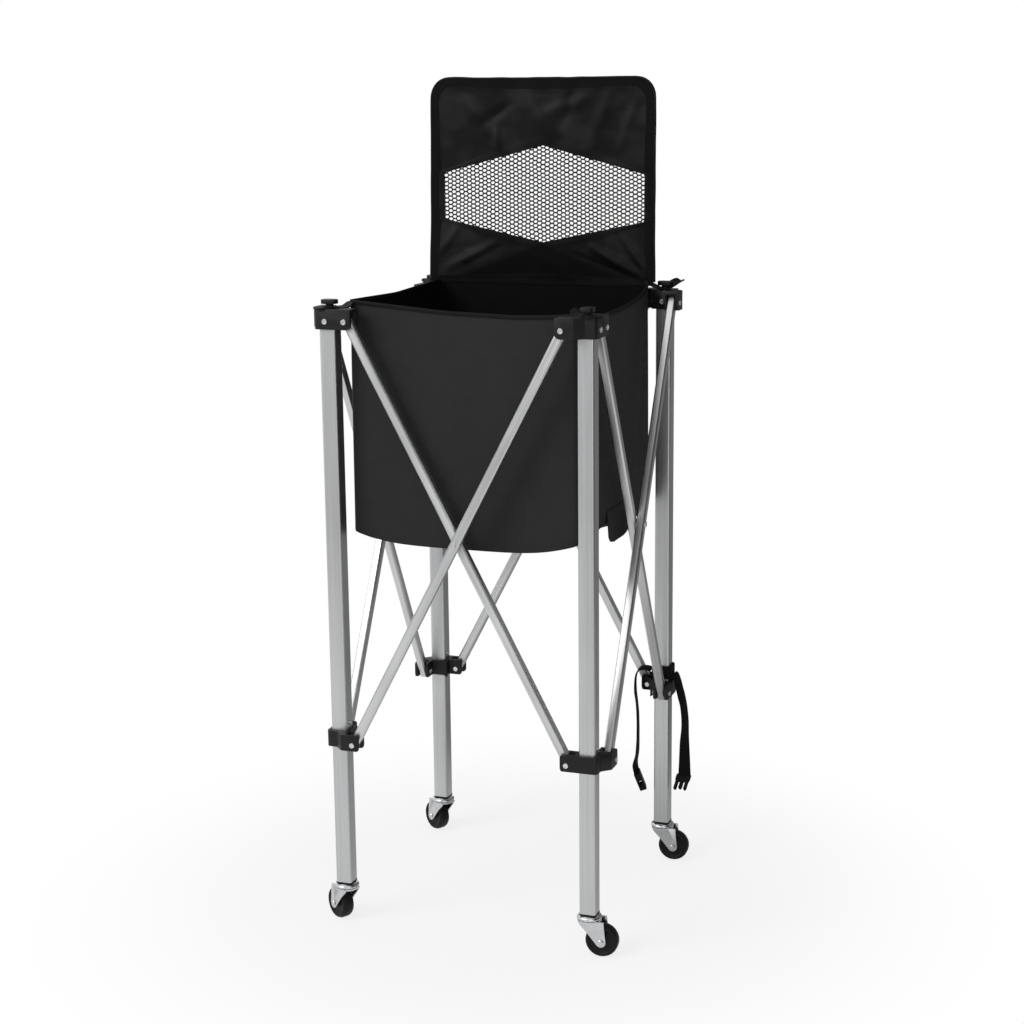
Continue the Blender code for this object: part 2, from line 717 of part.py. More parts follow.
def corner_loop():
    # A cloth eye over the knob's post, with a tongue to the bag's corner
    hole_radius = KNOB_POST_RADIUS + GAP
    eye = hole_radius + LOOP_BAND
    corner = LEG_SPACING / 2 - BAG_TOP_HALF
    reach = corner * math.sqrt(2) - CLOTH
    half = LOOP_WIDTH / 2
    turn = math.degrees(math.asin(half / eye))
    outline = arc((0, 0), eye, turn, 360 - turn, 14) + [(reach, -half), (reach, half)]
    hole = arc((0, 0), hole_radius, 0, 330, 11)
    height = BRACKET_TOP + GAP + LOOP_THICKNESS / 2
    return moved(
        sheet(outline, LOOP_THICKNESS, [hole]),
        Matrix.Translation((0, 0, height)) @ Matrix.Rotation(math.radians(45), 4, "Z"),
    )


def side_tab():
    # Made in the right side's plane: Y along it and Z up, with its outside towards +X
    front, back = TAB_FRONT, TAB_FRONT + TAB_WIDTH
    low = TAB_TOP - TAB_DROP
    outline = [(back, TAB_TOP), (front, TAB_TOP), (front, low + TAB_DROP * 0.45)]
    outline += [(front + TAB_WIDTH * 0.09, low + TAB_DROP * 0.12), (front + TAB_WIDTH * 0.35, low)]
    outline += [(back - TAB_WIDTH * 0.02, low + TAB_DROP * 0.15)]
    outline += [(back - TAB_WIDTH * 0.08, low + TAB_DROP * 0.4), (back, low + TAB_DROP * 0.6)]
    tab = moved(sheet(outline, CLOTH), TO_YZ)
    for vertex in tab.vertices:
        vertex.co.x += (TAB_TOP - vertex.co.z) * TAB_FLARE
    return moved(tab, Matrix.Translation((BAG_BOTTOM_HALF + CLOTH / 2 + 3 * GAP, 0, 0)))


# The lid is made upright on its hinge line, X across and Z up it, with its outside towards +Y


def window_outline(grow):
    # The hexagonal window, or the same shape grown by a margin
    side = WINDOW_HALF_WIDTH + grow
    return [
        (0, WINDOW_LOW_TIP - grow),
        (side, WINDOW_LOW_CORNER - grow),
        (side, WINDOW_HIGH_CORNER + grow),
        (0, WINDOW_HIGH_TIP + grow),
        (-side, WINDOW_HIGH_CORNER + grow),
        (-side, WINDOW_LOW_CORNER - grow),
    ]


def lid_edge(grow):
    # The lid's sides and rounded top, from its lower right corner round to its lower left
    radius = LID_CORNER_RADIUS + grow
    top = LID_HALF_WIDTH - LID_TOP_TAPER
    centre = (top - LID_CORNER_RADIUS, LID_LENGTH - LID_CORNER_RADIUS)
    right = [(LID_HALF_WIDTH + grow, GAP)]
    right += arc(centre, radius, 0, 90, 6)
    return right + [(-x, y) for x, y in reversed(right)]


def lid_panel():
    panel = sheet(lid_edge(0), CLOTH, [window_outline(0)])
    return moved(panel, TO_XZ)


def in_window(x, z, margin):
    side = WINDOW_HALF_WIDTH - margin
    share = min(1, abs(x) / side)
    low = WINDOW_LOW_TIP + (WINDOW_LOW_CORNER - WINDOW_LOW_TIP) * share + margin
    high = WINDOW_HIGH_TIP + (WINDOW_HIGH_CORNER - WINDOW_HIGH_TIP) * share - margin
    return abs(x) <= side and low <= z <= high


def lid_net():
    # A net of hexagonal meshes in staggered columns, sewn behind the window
    radius = (NET_PITCH - NET_THREAD) / math.sqrt(3)
    column_pitch = NET_PITCH * math.sqrt(3) / 2
    columns = int(WINDOW_HALF_WIDTH / column_pitch) + 1
    middle = (WINDOW_LOW_TIP + WINDOW_HIGH_TIP) / 2
    rows = int((WINDOW_HIGH_TIP - WINDOW_LOW_TIP) / NET_PITCH) + 1
    inset = max(0, radius + NET_THREAD - NET_OVERLAP)
    meshes = []
    for column in range(-columns, columns + 1):
        for row in range(-rows, rows + 1):
            x = column * column_pitch
            z = middle + (row + (column % 2) / 2) * NET_PITCH
            if in_window(x, z, inset):
                meshes.append(arc((x, z), radius, 0, 300, 5))
    net = sheet(window_outline(NET_OVERLAP), NET_THICKNESS, meshes)
    depth = CLOTH / 2 + GAP + NET_THICKNESS / 2
    return moved(net, Matrix.Translation((0, depth, 0)) @ TO_XZ)


def lid_piping():
    path = lid_edge(GAP + PIPING_RADIUS)
    curve = bpy.data.curves.new("piping", "CURVE")
    curve.dimensions = "3D"
    curve.bevel_depth = PIPING_RADIUS
    curve.bevel_resolution = 1
    curve.use_fill_caps = True
    spline = curve.splines.new("POLY")
    spline.points.add(len(path) - 1)
    for point, (x, z) in zip(spline.points, path):
        point.co = (x, 0, z, 1)
    obj = bpy.data.objects.new("piping", curve)
    bpy.context.scene.collection.objects.link(obj)
    return settled(obj)


def strap_band():
    # The strap's turn round the leg, just clear of the stop rivet's heads
    inner = HALF_LEG + RIVET_HEAD_HEIGHT + GAP
    outer = inner + STRAP_THICKNESS
    ring = rounded_rectangle((-outer, -outer), (outer, outer), SHELL_CORNER_RADIUS, 2)
    hole = rounded_rectangle((-inner, -inner), (inner, inner), SHELL_CORNER_RADIUS / 2, 2)
    return moved(
        sheet(ring, BAND_WIDTH, [hole]),
        Matrix.Translation((0, 0, BAND_WIDTH / 2)),
    )


# The tails' routes, from the band to the buckles, in millimetres from the leg's axis and the band's
# lower edge, with the turn of the webbing's width away from Y, in degrees
LEFT_TAIL = (
    (-12.9, -4, 9, 0),
    (-19.0, -4, 10.5, -2),
    (-26.0, -4, 9.5, -5),
    (-31.0, -4, 4, -8),
    (-32.8, -5, -5, -10),
    (-32.8, -5, -19, -11),
    (-31.0, -5, -33, -11),
    (-29.8, -5, -49, -10),
    (-29.5, -5, -67, -8),
    (-29.7, -5, -82, -6),
    (-30.5, -5, -97, -3),
    (-33.0, -5, -110, 2),
    (-31.0, -5, -121, 2),
)
RIGHT_TAIL = (
    (12.9, 1, 5, 0),
    (16.0, 1, 2, -3),
    (20.0, 1, -9, -5),
    (24.0, 1, -21, -3),
    (27.5, 1, -35, 4),
    (29.0, 1, -55, 12),
    (29.3, 1, -77, 20),
    (28.5, 1, -99, 30),
    (26.5, 1, -121, 42),
)


def webbing(route):
    # A flat band swept along the route, whose width turns from Y as the route says
    half = (STRAP_WIDTH / 2, STRAP_THICKNESS / 2)
    places = [Vector(point[:3]) * MM for point in route]
    shape = bmesh.new()
    rings = []
    for index, (place, point) in enumerate(zip(places, route)):
        before = places[max(index - 1, 0)]
        after = places[min(index + 1, len(places) - 1)]
        ahead = (after - before).normalized()
        turn = math.radians(point[3])
        wide = Vector((math.sin(turn), math.cos(turn), 0))
        wide = (wide - ahead * wide.dot(ahead)).normalized()
        deep = ahead.cross(wide)
        ring = []
        for a, b in ((1, 1), (-1, 1), (-1, -1), (1, -1)):
            ring.append(shape.verts.new(place + wide * half[0] * a + deep * half[1] * b))
        rings.append(ring)
    for first, second in zip(rings, rings[1:]):
        for side in range(4):
            other = (side + 1) % 4
            shape.faces.new((first[side], first[other], second[other], second[side]))
    shape.faces.new(tuple(reversed(rings[0])))
    shape.faces.new(rings[-1])
    bmesh.ops.recalc_face_normals(shape, faces=shape.faces)
    mesh = bpy.data.meshes.new("webbing")
    shape.to_mesh(mesh)
    shape.free()
    return mesh


def end_frame(route):
    # At the tail's end: Z back along the strap, X along its width
    last, before = Vector(route[-1][:3]) * MM, Vector(route[-2][:3]) * MM
    up = (before - last).normalized()
    turn = math.radians(route[-1][3])
    wide = Vector((math.sin(turn), math.cos(turn), 0))
    wide = (wide - up * wide.dot(up)).normalized()
    deep = up.cross(wide)
    frame = Matrix((wide, deep, up)).transposed().to_4x4()
    return Matrix.Translation(last - up * GAP) @ frame


def buckle_socket():
    # The female half: a flat tapered shell, open at its mouth and at its two sides
    half = BUCKLE_WIDTH / 2
    outline = (
        (half, 0),
        (-half, 0),
        (-half * 0.86, -SOCKET_LENGTH * 0.92),
        (-half * 0.6, -SOCKET_LENGTH),
        (half * 0.6, -SOCKET_LENGTH),
        (half * 0.86, -SOCKET_LENGTH * 0.92),
    )
    shell = moved(sheet(outline, BUCKLE_THICKNESS), TO_XZ)
    deep = BUCKLE_THICKNESS / 2 - BUCKLE_WALL
    mouth = block(
        (-half * 0.62, -deep, -2 * SOCKET_LENGTH), (half * 0.62, deep, -SOCKET_LENGTH * 0.3)
    )
    sides = block(
        (-2 * half, -deep, -SOCKET_LENGTH * 0.72), (2 * half, deep, -SOCKET_LENGTH * 0.42)
    )
    return cut(shell, mouth, sides)


def buckle_prongs():
    # The male half: a bar with a middle guide and two sprung side prongs
    half = BUCKLE_WIDTH / 2
    bar = half * 0.95
    outline = [(half, 0), (-half, 0), (-half, -bar * 0.7)]
    for centre, length, width in ((-0.72, 1, 0.17), (0, 0.92, 0.2), (0.72, 1, 0.17)):
        left, right = (centre - width) * half, (centre + width) * half
        tip = -bar - PRONG_LENGTH * length
        outline += [(left, -bar), (left, tip + width * half), (centre * half, tip)]
        outline += [(right, tip + width * half), (right, -bar)]
    outline.append((half, -bar * 0.7))
    return moved(sheet(outline, BUCKLE_THICKNESS * 0.6), TO_XZ)


def build():
    clear_scene()
    trolley = bpy.data.collections.new("sports_equipment_trolley")
    bpy.context.scene.collection.children.link(trolley)
    finishes = {}
    meshes = {}

    def axis(name, place, parent=None):
        # An empty on a joint's axis, which carries one moving body
        empty = bpy.data.objects.new("axis_" + name, None)
        empty.empty_display_size = 0.02
        trolley.objects.link(empty)
        hang(empty, Matrix.Translation(place), parent)
        return empty

    def hang(obj, world, parent):
        obj.matrix_basis = world
        if parent is not None:
            bpy.context.view_layer.update()
            obj.parent = parent
            obj.matrix_parent_inverse = parent.matrix_world.inverted()

    def add(name, key, maker, finish, world, parent):
        # A named piece; pieces with one key share their mesh and so their material
        if key not in meshes:
            mesh = maker()
            mesh.name = key
            mesh.materials.clear()
            mesh.materials.append(material(key, finish))
            mesh.shade_smooth()
            mesh.set_sharp_from_angle(angle=math.radians(35))
            meshes[key] = mesh
        obj = bpy.data.objects.new(name, meshes[key])
        trolley.objects.link(obj)
        hang(obj, world, parent)
        return obj

    corners = ("fl", "fr", "br", "bl")
    faces = ("front", "right", "back", "left")
    half_spacing = LEG_SPACING / 2
    face_frames = [Matrix.Rotation(math.radians(90 * k), 4, "Z") for k in range(4)]
    corner_frames = [
        face @ Matrix.Translation((-half_spacing, -half_spacing, 0)) for face in face_frames
    ]

    def pivot(face, along, height):
        return corner_frames[face] @ Vector((along, 0, height))

    far = LEG_SPACING - PIVOT_INSET
    legs = {0: axis("fl_leg", corner_frames[0].translation)}
    arms = {}

    def add_arm(face, kind, place, parent):
        name = f"{faces[face]}_{kind}_arm"
        outer = kind == "outer"
        arms[name] = axis(name, place, parent)
        start = far if outer else PIVOT_INSET
        pitch = math.pi - ARM_PITCH if outer else ARM_PITCH
        depth = OUTER_ARM_DEPTH if outer else INNER_ARM_DEPTH
        world = corner_frames[face] @ Matrix.Translation((start, -depth, TOP_PIVOT_HEIGHT))
        world = world @ Matrix.Rotation(pitch, 4, "Y")
        add(name, f"{kind}_arm", lambda: arm(int(outer)), "aluminium", world, arms[name])
        return arms[name]

    middle = LEG_SPACING / 2
    cross_height = (TOP_PIVOT_HEIGHT + SLEEVE_PIVOT_HEIGHT) / 2
    # Front and right faces fold from their left leg, left and back faces from their right leg
    for face, start_leg, new_leg in ((0, 0, 1), (1, 1, 2), (3, 0, 3), (2, 3, None)):
        from_left = face < 2
        first, second = ("inner", "outer") if from_left else ("outer", "inner")
        at = PIVOT_INSET if from_left else far
        one = add_arm(face, first, pivot(face, at, TOP_PIVOT_HEIGHT), legs[start_leg])
        two = add_arm(face, second, pivot(face, middle, cross_height), one)
        if new_leg is not None:
            at = far if from_left else PIVOT_INSET
            place = pivot(face, at, TOP_PIVOT_HEIGHT)
            legs[new_leg] = axis(f"{corners[new_leg]}_leg", place, two)

    # Each sleeve hangs on the arm that reaches it first: the arm, its face and the place along it
    sleeve_seats = (
        ("front_outer_arm", 0, PIVOT_INSET),
        ("front_inner_arm", 0, far),
        ("right_inner_arm", 1, far),
        ("left_outer_arm", 3, PIVOT_INSET),
    )
    for k, corner in enumerate(corners):
        world = corner_frames[k]
        leg = legs[k]
        across = k % 2 == 0
        key = "leg_tube_x" if across else "leg_tube_y"
        add(f"{corner}_leg_tube", key, lambda: leg_tube(across), "aluminium", world, leg)
        add(f"{corner}_leg_plug", "leg_plug", leg_plug, "plug", world, leg)
        add(f"{corner}_castor_crown", "castor_crown", castor_crown, "zinc", world, leg)
        top = world @ Matrix.Translation((0, 0, TOP_PIVOT_HEIGHT))
        add(f"{corner}_top_bracket", "top_bracket", top_bracket, "moulding", top, leg)
        add(f"{corner}_bag_loop", "corner_loop", corner_loop, "fabric", world, leg)

        carrier, face, at = sleeve_seats[k]
        place = pivot(face, at, SLEEVE_PIVOT_HEIGHT)
        sleeve = axis(f"{corner}_sleeve", place, arms[carrier])
        low = world @ Matrix.Translation((0, 0, SLEEVE_PIVOT_HEIGHT))
        add(f"{corner}_sleeve", "lower_sleeve", lower_sleeve, "moulding", low, sleeve)

        heading = Matrix.Rotation(math.radians(CASTOR_HEADINGS[k]), 4, "Z")
        swivel_frame = Matrix.Translation(world.translation) @ heading
        swivel = axis(f"{corner}_castor_swivel", world.translation, leg)
        add(f"{corner}_castor_fork", "castor_fork", castor_fork, "zinc", swivel_frame, swivel)
        axle_frame = swivel_frame @ Matrix.Translation((CASTOR_TRAIL, 0, AXLE_HEIGHT))
        add(f"{corner}_castor_axle", "castor_axle", castor_axle, "zinc", axle_frame, swivel)
        spin = axis(f"{corner}_wheel", axle_frame.translation, swivel)
        add(f"{corner}_wheel", "castor_wheel", castor_wheel, "tyre", axle_frame, spin)

    panel_legs = (legs[0], legs[1], legs[3], legs[0])
    for face, leg in zip(range(4), panel_legs):
        name = f"bag_{faces[face]}"
        add(name, name, lambda: bag_panel(face), "fabric", face_frames[face], leg)
    add("bag_floor", "bag_floor", bag_floor, "fabric", Matrix(), legs[0])
    add("bag_side_tab", "side_tab", side_tab, "fabric", Matrix(), legs[1])

    hinge = Vector((0, LID_HINGE_BACK, LID_HINGE_HEIGHT))
    lid = axis("lid", hinge, legs[3])
    lean = Matrix.Translation(hinge) @ Matrix.Rotation(math.radians(-LID_LEAN), 4, "X")
    add("lid_panel", "lid_panel", lid_panel, "lid_fabric", lean, lid)
    add("lid_net", "lid_net", lid_net, "net", lean, lid)
    add("lid_piping", "lid_piping", lid_piping, "piping", lean, lid)

    strap_frame = Matrix.Translation(corner_frames[2].translation + Vector((0, 0, BAND_BOTTOM)))
    add("strap_band", "strap_band", strap_band, "webbing", strap_frame, legs[2])
    left_end, right_end = strap_frame @ end_frame(LEFT_TAIL), strap_frame @ end_frame(RIGHT_TAIL)
    add("strap_tail_left", "tail_left", lambda: webbing(LEFT_TAIL), "webbing", strap_frame, legs[2])
    add("strap_tail_right", "tail_right", lambda: webbing(RIGHT_TAIL), "webbing", strap_frame, legs[2])
    add("strap_buckle_socket", "buckle_socket", buckle_socket, "buckle", left_end, legs[2])
    add("strap_buckle_prongs", "buckle_prongs", buckle_prongs, "buckle", right_end, legs[2])


build()
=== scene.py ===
import json
import math

import bmesh
import bpy
from mathutils import Matrix, Vector, noise

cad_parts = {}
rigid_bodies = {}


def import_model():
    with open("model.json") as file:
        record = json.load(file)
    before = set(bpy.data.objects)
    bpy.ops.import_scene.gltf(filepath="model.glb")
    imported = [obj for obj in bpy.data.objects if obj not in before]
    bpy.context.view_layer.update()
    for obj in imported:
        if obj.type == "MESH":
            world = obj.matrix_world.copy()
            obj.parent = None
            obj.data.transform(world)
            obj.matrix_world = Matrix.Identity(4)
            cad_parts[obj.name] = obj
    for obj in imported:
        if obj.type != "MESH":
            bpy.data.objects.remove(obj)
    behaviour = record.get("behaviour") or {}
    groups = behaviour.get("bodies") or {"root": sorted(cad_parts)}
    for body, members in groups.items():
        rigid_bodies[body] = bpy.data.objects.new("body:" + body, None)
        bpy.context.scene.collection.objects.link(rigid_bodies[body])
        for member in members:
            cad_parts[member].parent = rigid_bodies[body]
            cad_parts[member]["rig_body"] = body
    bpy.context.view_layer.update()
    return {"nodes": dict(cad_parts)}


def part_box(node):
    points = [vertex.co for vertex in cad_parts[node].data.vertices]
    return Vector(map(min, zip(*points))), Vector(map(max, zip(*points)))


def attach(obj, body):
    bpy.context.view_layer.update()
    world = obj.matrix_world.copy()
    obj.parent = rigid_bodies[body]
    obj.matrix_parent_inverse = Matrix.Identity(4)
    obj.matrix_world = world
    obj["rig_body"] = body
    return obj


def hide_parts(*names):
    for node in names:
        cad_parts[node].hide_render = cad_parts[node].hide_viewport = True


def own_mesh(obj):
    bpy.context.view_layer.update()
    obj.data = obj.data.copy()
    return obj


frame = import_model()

mm = 0.001
scene = bpy.context.scene
scene.view_settings.view_transform = "Standard"

# Facts that several pieces share, as the frame has them, in metres
trolley = {
    "halfSpacing": 0.142,  # of the legs' axes
    "halfLeg": 0.009,
    "pivotInset": 0.0215,
    "topPivot": 0.672,
    "sleevePivot": 0.214,
    "bracketTop": 0.685,
    "sleeveTop": 0.225,
    "flushOut": 0.0089,
    "slot": 0.0100,
    "lugWall": 0.0035,
    "shellHalf": 0.013,
    "bagHalf": 0.1275,
    "floorEdge": 0.446,
}
corners = ("fl", "fr", "br", "bl")
faces = ("front", "right", "back", "left")
bodyOf = {node: obj["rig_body"] for node, obj in frame["nodes"].items()}


# Node trees, for shaders and for shapes

def maths(operation, reflected=False):
    # A method that adds a Math node for its wire and one other value
    def method(wire, other=0.0):
        first, second = (other, wire) if reflected else (wire, other)
        inputs = {0: first, 1: second}
        return wire.board.node("ShaderNodeMath", {"operation": operation}, inputs)
    return method


class Wire:
    # One socket of a tree. Sums on it add Math nodes
    __add__, __radd__ = maths("ADD"), maths("ADD", True)
    __sub__, __rsub__ = maths("SUBTRACT"), maths("SUBTRACT", True)
    __mul__, __rmul__ = maths("MULTIPLY"), maths("MULTIPLY", True)
    __truediv__, __rtruediv__ = maths("DIVIDE"), maths("DIVIDE", True)
    __lt__ = maths("LESS_THAN")
    sine, size, whole = maths("SINE"), maths("ABSOLUTE"), maths("FLOOR")
    atMost, atLeast = maths("MINIMUM"), maths("MAXIMUM")

    def __init__(self, board, socket):
        self.board = board
        self.socket = socket

    def held(self):
        # Kept between 0 and 1
        return self.atLeast(0.0).atMost(1.0)

    def other(self, name):
        # Another output of the same node
        return Wire(self.board, self.socket.node.outputs[name])


class Board:
    # A node tree, with the one call that adds a node to it
    def __init__(self, tree):
        self.tree = tree

    def feed(self, socket, value):
        if isinstance(value, Wire):
            self.tree.links.new(value.socket, socket)
        else:
            socket.default_value = value

    def node(self, kind, settings=None, inputs=None, output=0):
        made = self.tree.nodes.new(kind)
        for name, value in (settings or {}).items():
            setattr(made, name, value)
        for name, value in (inputs or {}).items():
            self.feed(made.inputs[name], value)
        return Wire(self, made.outputs[output])

    def vector(self, x=0.0, y=0.0, z=0.0):
        return self.node("ShaderNodeCombineXYZ", None, {0: x, 1: y, 2: z})

    def seenRays(self):
        # 1 for the rays that show the background itself, 0 for the light it gives
        rays = self.node("ShaderNodeLightPath", output="Is Camera Ray")
        return (rays + rays.other("Is Glossy Ray") + rays.other("Is Transmission Ray")).atMost(1.0)


class Finish(Board):
    # A material: fixed values on the shader's own sockets, and patterns wired in afterwards
    sources = {
        "object": ("ShaderNodeTexCoord", {}, "Object"),
        "cloth": ("ShaderNodeUVMap", {"uv_map": "cloth"}, 0),
        "grain": ("ShaderNodeAttribute", {"attribute_name": "grain"}, "Vector"),
    }

    def __init__(self, name, **fixed):
        self.material = bpy.data.materials.new(name)
        self.material.use_nodes = True
        super().__init__(self.material.node_tree)
        self.shader = self.tree.nodes["Principled BSDF"]
        self.paint(**fixed)

    def paint(self, **patterns):
        for socket, value in patterns.items():
            self.feed(self.shader.inputs[socket.replace("_", " ")], value)

    def place(self, source):
        kind, settings, output = self.sources[source]
        return self.node(kind, settings, output=output)

    def speckle(self, source, scale, detail=3.0, rough=0.5, stretch=(1, 1, 1)):
        place = self.node("ShaderNodeMapping", None, {0: self.place(source), 3: stretch})
        sizes = {"Vector": place, "Scale": scale, "Detail": detail, "Roughness": rough}
        return self.node("ShaderNodeTexNoise", None, sizes)

    def tones(self, share, *ends):
        # From the first colour to the second, each of which may be one grey
        first, second = ((end,) * 3 if isinstance(end, float) else end for end in ends)
        mix = {0: share, 6: (*first, 1), 7: (*second, 1)}
        return self.node("ShaderNodeMix", {"data_type": "RGBA"}, mix, 2)

    def bump(self, height, strength, distance, under=None):
        sizes = {"Height": height, "Strength": strength, "Distance": distance}
        if under is not None:
            sizes["Normal"] = under
        return self.node("ShaderNodeBump", None, sizes)


class Growth(Board):
    # A geometry nodes tree with named sizes, run once over a plain mesh
    kinds = {float: "NodeSocketFloat", int: "NodeSocketInt"}

    def __init__(self, name, sizes):
        super().__init__(bpy.data.node_groups.new(name, "GeometryNodeTree"))
        self.sizes = sizes
        sockets = {name: self.kinds[type(value)] for name, value in sizes.items()}
        sockets = {"Geometry": "NodeSocketGeometry", **sockets, "Finish": "NodeSocketMaterial"}
        face = self.tree.interface
        for name, kind in sockets.items():
            face.new_socket(name, in_out="INPUT", socket_type=kind)
        face.new_socket("Geometry", in_out="OUTPUT", socket_type="NodeSocketGeometry")
        self.given = self.node("NodeGroupInput")

    def named(self):
        return [self.given.other(name) for name in self.sizes]

    def joined(self, *parts):
        whole = self.node("GeometryNodeJoinGeometry")
        for part in parts:
            self.feed(whole.socket.node.inputs[0], part)
        return whole

    def moved(self, shape, place, scale=(1, 1, 1)):
        change = {"Geometry": shape, "Translation": place, "Scale": scale}
        return self.node("GeometryNodeTransform", None, change)

    def circle(self, sides, radius):
        sizes = {"Resolution": sides, "Radius": radius}
        return self.node("GeometryNodeCurvePrimitiveCircle", None, sizes)

    def swept(self, path, profile, caps=False):
        parts = {0: path, "Profile Curve": profile, "Fill Caps": caps}
        return self.node("GeometryNodeCurveToMesh", None, parts)

    def aimed(self, axis, way):
        return self.node("FunctionNodeAlignRotationToVector", {"axis": axis}, {"Vector": way})

    def finish(self, **spread):
        # One instance on each point, made real and given its material
        instances = self.node("GeometryNodeInstanceOnPoints", None, spread)
        real = self.node("GeometryNodeRealizeInstances", None, {0: instances})
        dressed = {"Geometry": real, "Material": self.given.other("Finish")}
        painted = self.node("GeometryNodeSetMaterial", None, dressed)
        end = self.tree.nodes.new("NodeGroupOutput")
        self.feed(end.inputs["Geometry"], painted)
        return self

    def run(self, mesh, finish, **changed):
        holder = linked("working", mesh)
        modifier = holder.modifiers.new("growth", "NODES")
        modifier.node_group = self.tree
        values = {**self.sizes, "Finish": finishes[finish].material}
        values.update({name.replace("_", " "): value for name, value in changed.items()})
        for item in self.tree.interface.items_tree:
            if item.in_out == "INPUT" and item.name in values:
                modifier[item.identifier] = values[item.name]
        return settled(holder)


# Objects and meshes

def linked(name, data):
    made = bpy.data.objects.new(name, data)
    scene.collection.objects.link(made)
    return made


def settled(holder):
    # The working object's evaluated shape as a plain mesh
    bpy.context.view_layer.update()
    graph = bpy.context.evaluated_depsgraph_get()
    mesh = bpy.data.meshes.new_from_object(holder.evaluated_get(graph))
    bpy.data.objects.remove(holder, do_unlink=True)
    return mesh


def modified(mesh, kind, **settings):
    holder = linked("working", mesh)
    modifier = holder.modifiers.new(kind.lower(), kind)
    for name, value in settings.items():
        setattr(modifier, name, value)
    return settled(holder)


def plainMesh(points, polygons=(), edges=(), flat=None):
    # A mesh from lists, with an optional map in metres for its cloth
    mesh = bpy.data.meshes.new("shape")
    mesh.from_pydata([tuple(point) for point in points], list(edges), list(polygons))
    if flat is not None:
        layer = mesh.uv_layers.new(name="cloth")
        for loop in mesh.loops:
            layer.data[loop.index].uv = flat[loop.vertex_index]
    mesh.update()
    return mesh


def gridPolygons(across, along, closed=False):
    # Quads of a grid of points stored row by row, `across` points in each row
    polygons = []
    for row in range(along - 1):
        for column in range(across if closed else across - 1):
            following = (column + 1) % across
            low, high = row * across, (row + 1) * across
            polygons.append((low + column, low + following, high + following, high + column))
    return polygons


def turnedOver(polygons):
    return [tuple(reversed(polygon)) for polygon in polygons]


def sweptMesh(rows, closed=False, flat=None):
    # A skin over rings of points, its ends capped or joined to each other
    sides, last = len(rows[0]), (len(rows) - 1) * len(rows[0])
    polygons = gridPolygons(sides, len(rows), closed=True)
    if closed:
        pairs = [(side, (side + 1) % sides) for side in range(sides)]
        polygons += [(last + side, last + after, after, side) for side, after in pairs]
    else:
        polygons += [tuple(reversed(range(sides))), tuple(range(last, last + sides))]
    mesh = plainMesh([point for row in rows for point in row], polygons, flat=flat)
    shape = bmesh.new()
    shape.from_mesh(mesh)
    bmesh.ops.recalc_face_normals(shape, faces=shape.faces)
    shape.to_mesh(mesh)
    shape.free()
    return mesh


def waysAhead(path, closed=False):
    # The way the path runs at each of its points, from the points beside it
    count = len(path)
    for index in range(count):
        if closed:
            way = path[(index + 1) % count] - path[index - 1]
        else:
            way = path[min(index + 1, count - 1)] - path[max(index - 1, 0)]
        yield way.normalized()


def runAlong(path):
    # The length of the path up to each of its points
    lengths = [0.0]
    for before, after in zip(path, path[1:]):
        lengths.append(lengths[-1] + (after - before).length)
    return lengths


def piece(name, mesh, finish, body, replaced=(), angle=35, under=None):
    # A named piece that rides a body and stands for the nodes it replaces
    sides = [polygon.material_index for polygon in mesh.polygons]
    mesh.materials.clear()
    mesh.materials.append(finishes[finish].material)
    if under:
        mesh.materials.append(finishes[under].material)
        mesh.polygons.foreach_set("material_index", sides)
    mesh.shade_smooth()
    mesh.set_sharp_from_angle(angle=math.radians(angle))
    made = linked(name, mesh)
    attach(made, body)
    if replaced:
        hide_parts(*replaced)
    return made


solids = {"merge": 0.005 * mm, "flatAngle": 0.5, "sharpAngle": 40, "armEdge": 0.7 * mm}


def cadCopy(node, width, segments=2):
    # A node's solid, merged and with its flats rejoined, then with its edges rounded
    shape = bmesh.new()
    shape.from_mesh(frame["nodes"][node].data)
    bmesh.ops.remove_doubles(shape, verts=shape.verts, dist=solids["merge"])
    flatAngle = math.radians(solids["flatAngle"])
    bmesh.ops.dissolve_limit(shape, angle_limit=flatAngle, verts=shape.verts, edges=shape.edges)
    mesh = bpy.data.meshes.new(node)
    shape.to_mesh(mesh)
    shape.free()
    return modified(
        mesh, "BEVEL", width=width, segments=segments, limit_method="ANGLE",
        angle_limit=math.radians(solids["sharpAngle"]), use_clamp_overlap=True,
        harden_normals=False,
    )


def clothMesh(across, along, spot, thickness, offset=-1.0, over=False, closed=False):
    # A sheet from a function that turns the shares across and along it into a point and its
    # place on the flat cloth
    columns, rows = range(across if closed else across + 1), range(along + 1)
    cells = [spot(column / across, row / along) for row in rows for column in columns]
    points, flat = zip(*cells)
    polygons = gridPolygons(len(columns), len(rows), closed)
    count = len(polygons)
    mesh = plainMesh(points, turnedOver(polygons) if over else polygons, flat=flat)
    mesh = modified(mesh, "SOLIDIFY", thickness=thickness, offset=offset)
    if not closed:  # its inner side is marked for the second finish, the darker inside cloth with painted shade
        for polygon in list(mesh.polygons)[count : 2 * count]:
            polygon.material_index = 1
    return mesh


# Sums that shapes share

def through(stops, t):
    # A height that runs softly through (share, value) stops
    def straight(at):
        for (start, low), (end, high) in zip(stops, stops[1:]):
            if at <= end:
                return low + (high - low) * max(0.0, at - start) / (end - start)
        return stops[-1][1]

    near = 0.03 * min(1, t / 0.06, (1 - t) / 0.06)
    return sum(straight(t + near * step) for step in (-1, -0.5, 0, 0.5, 1)) / 5


def wave(t, seed=0.0):
    # A slow, repeatable waver between -1 and 1
    return noise.noise(Vector((t, seed, 3.7 + seed)))


def ease(t):
    t = min(max(t, 0.0), 1.0)
    return t * t * (3 - 2 * t)


def bell(t):
    # 1 at its middle, falling away on both sides
    return math.exp(-(t**2))


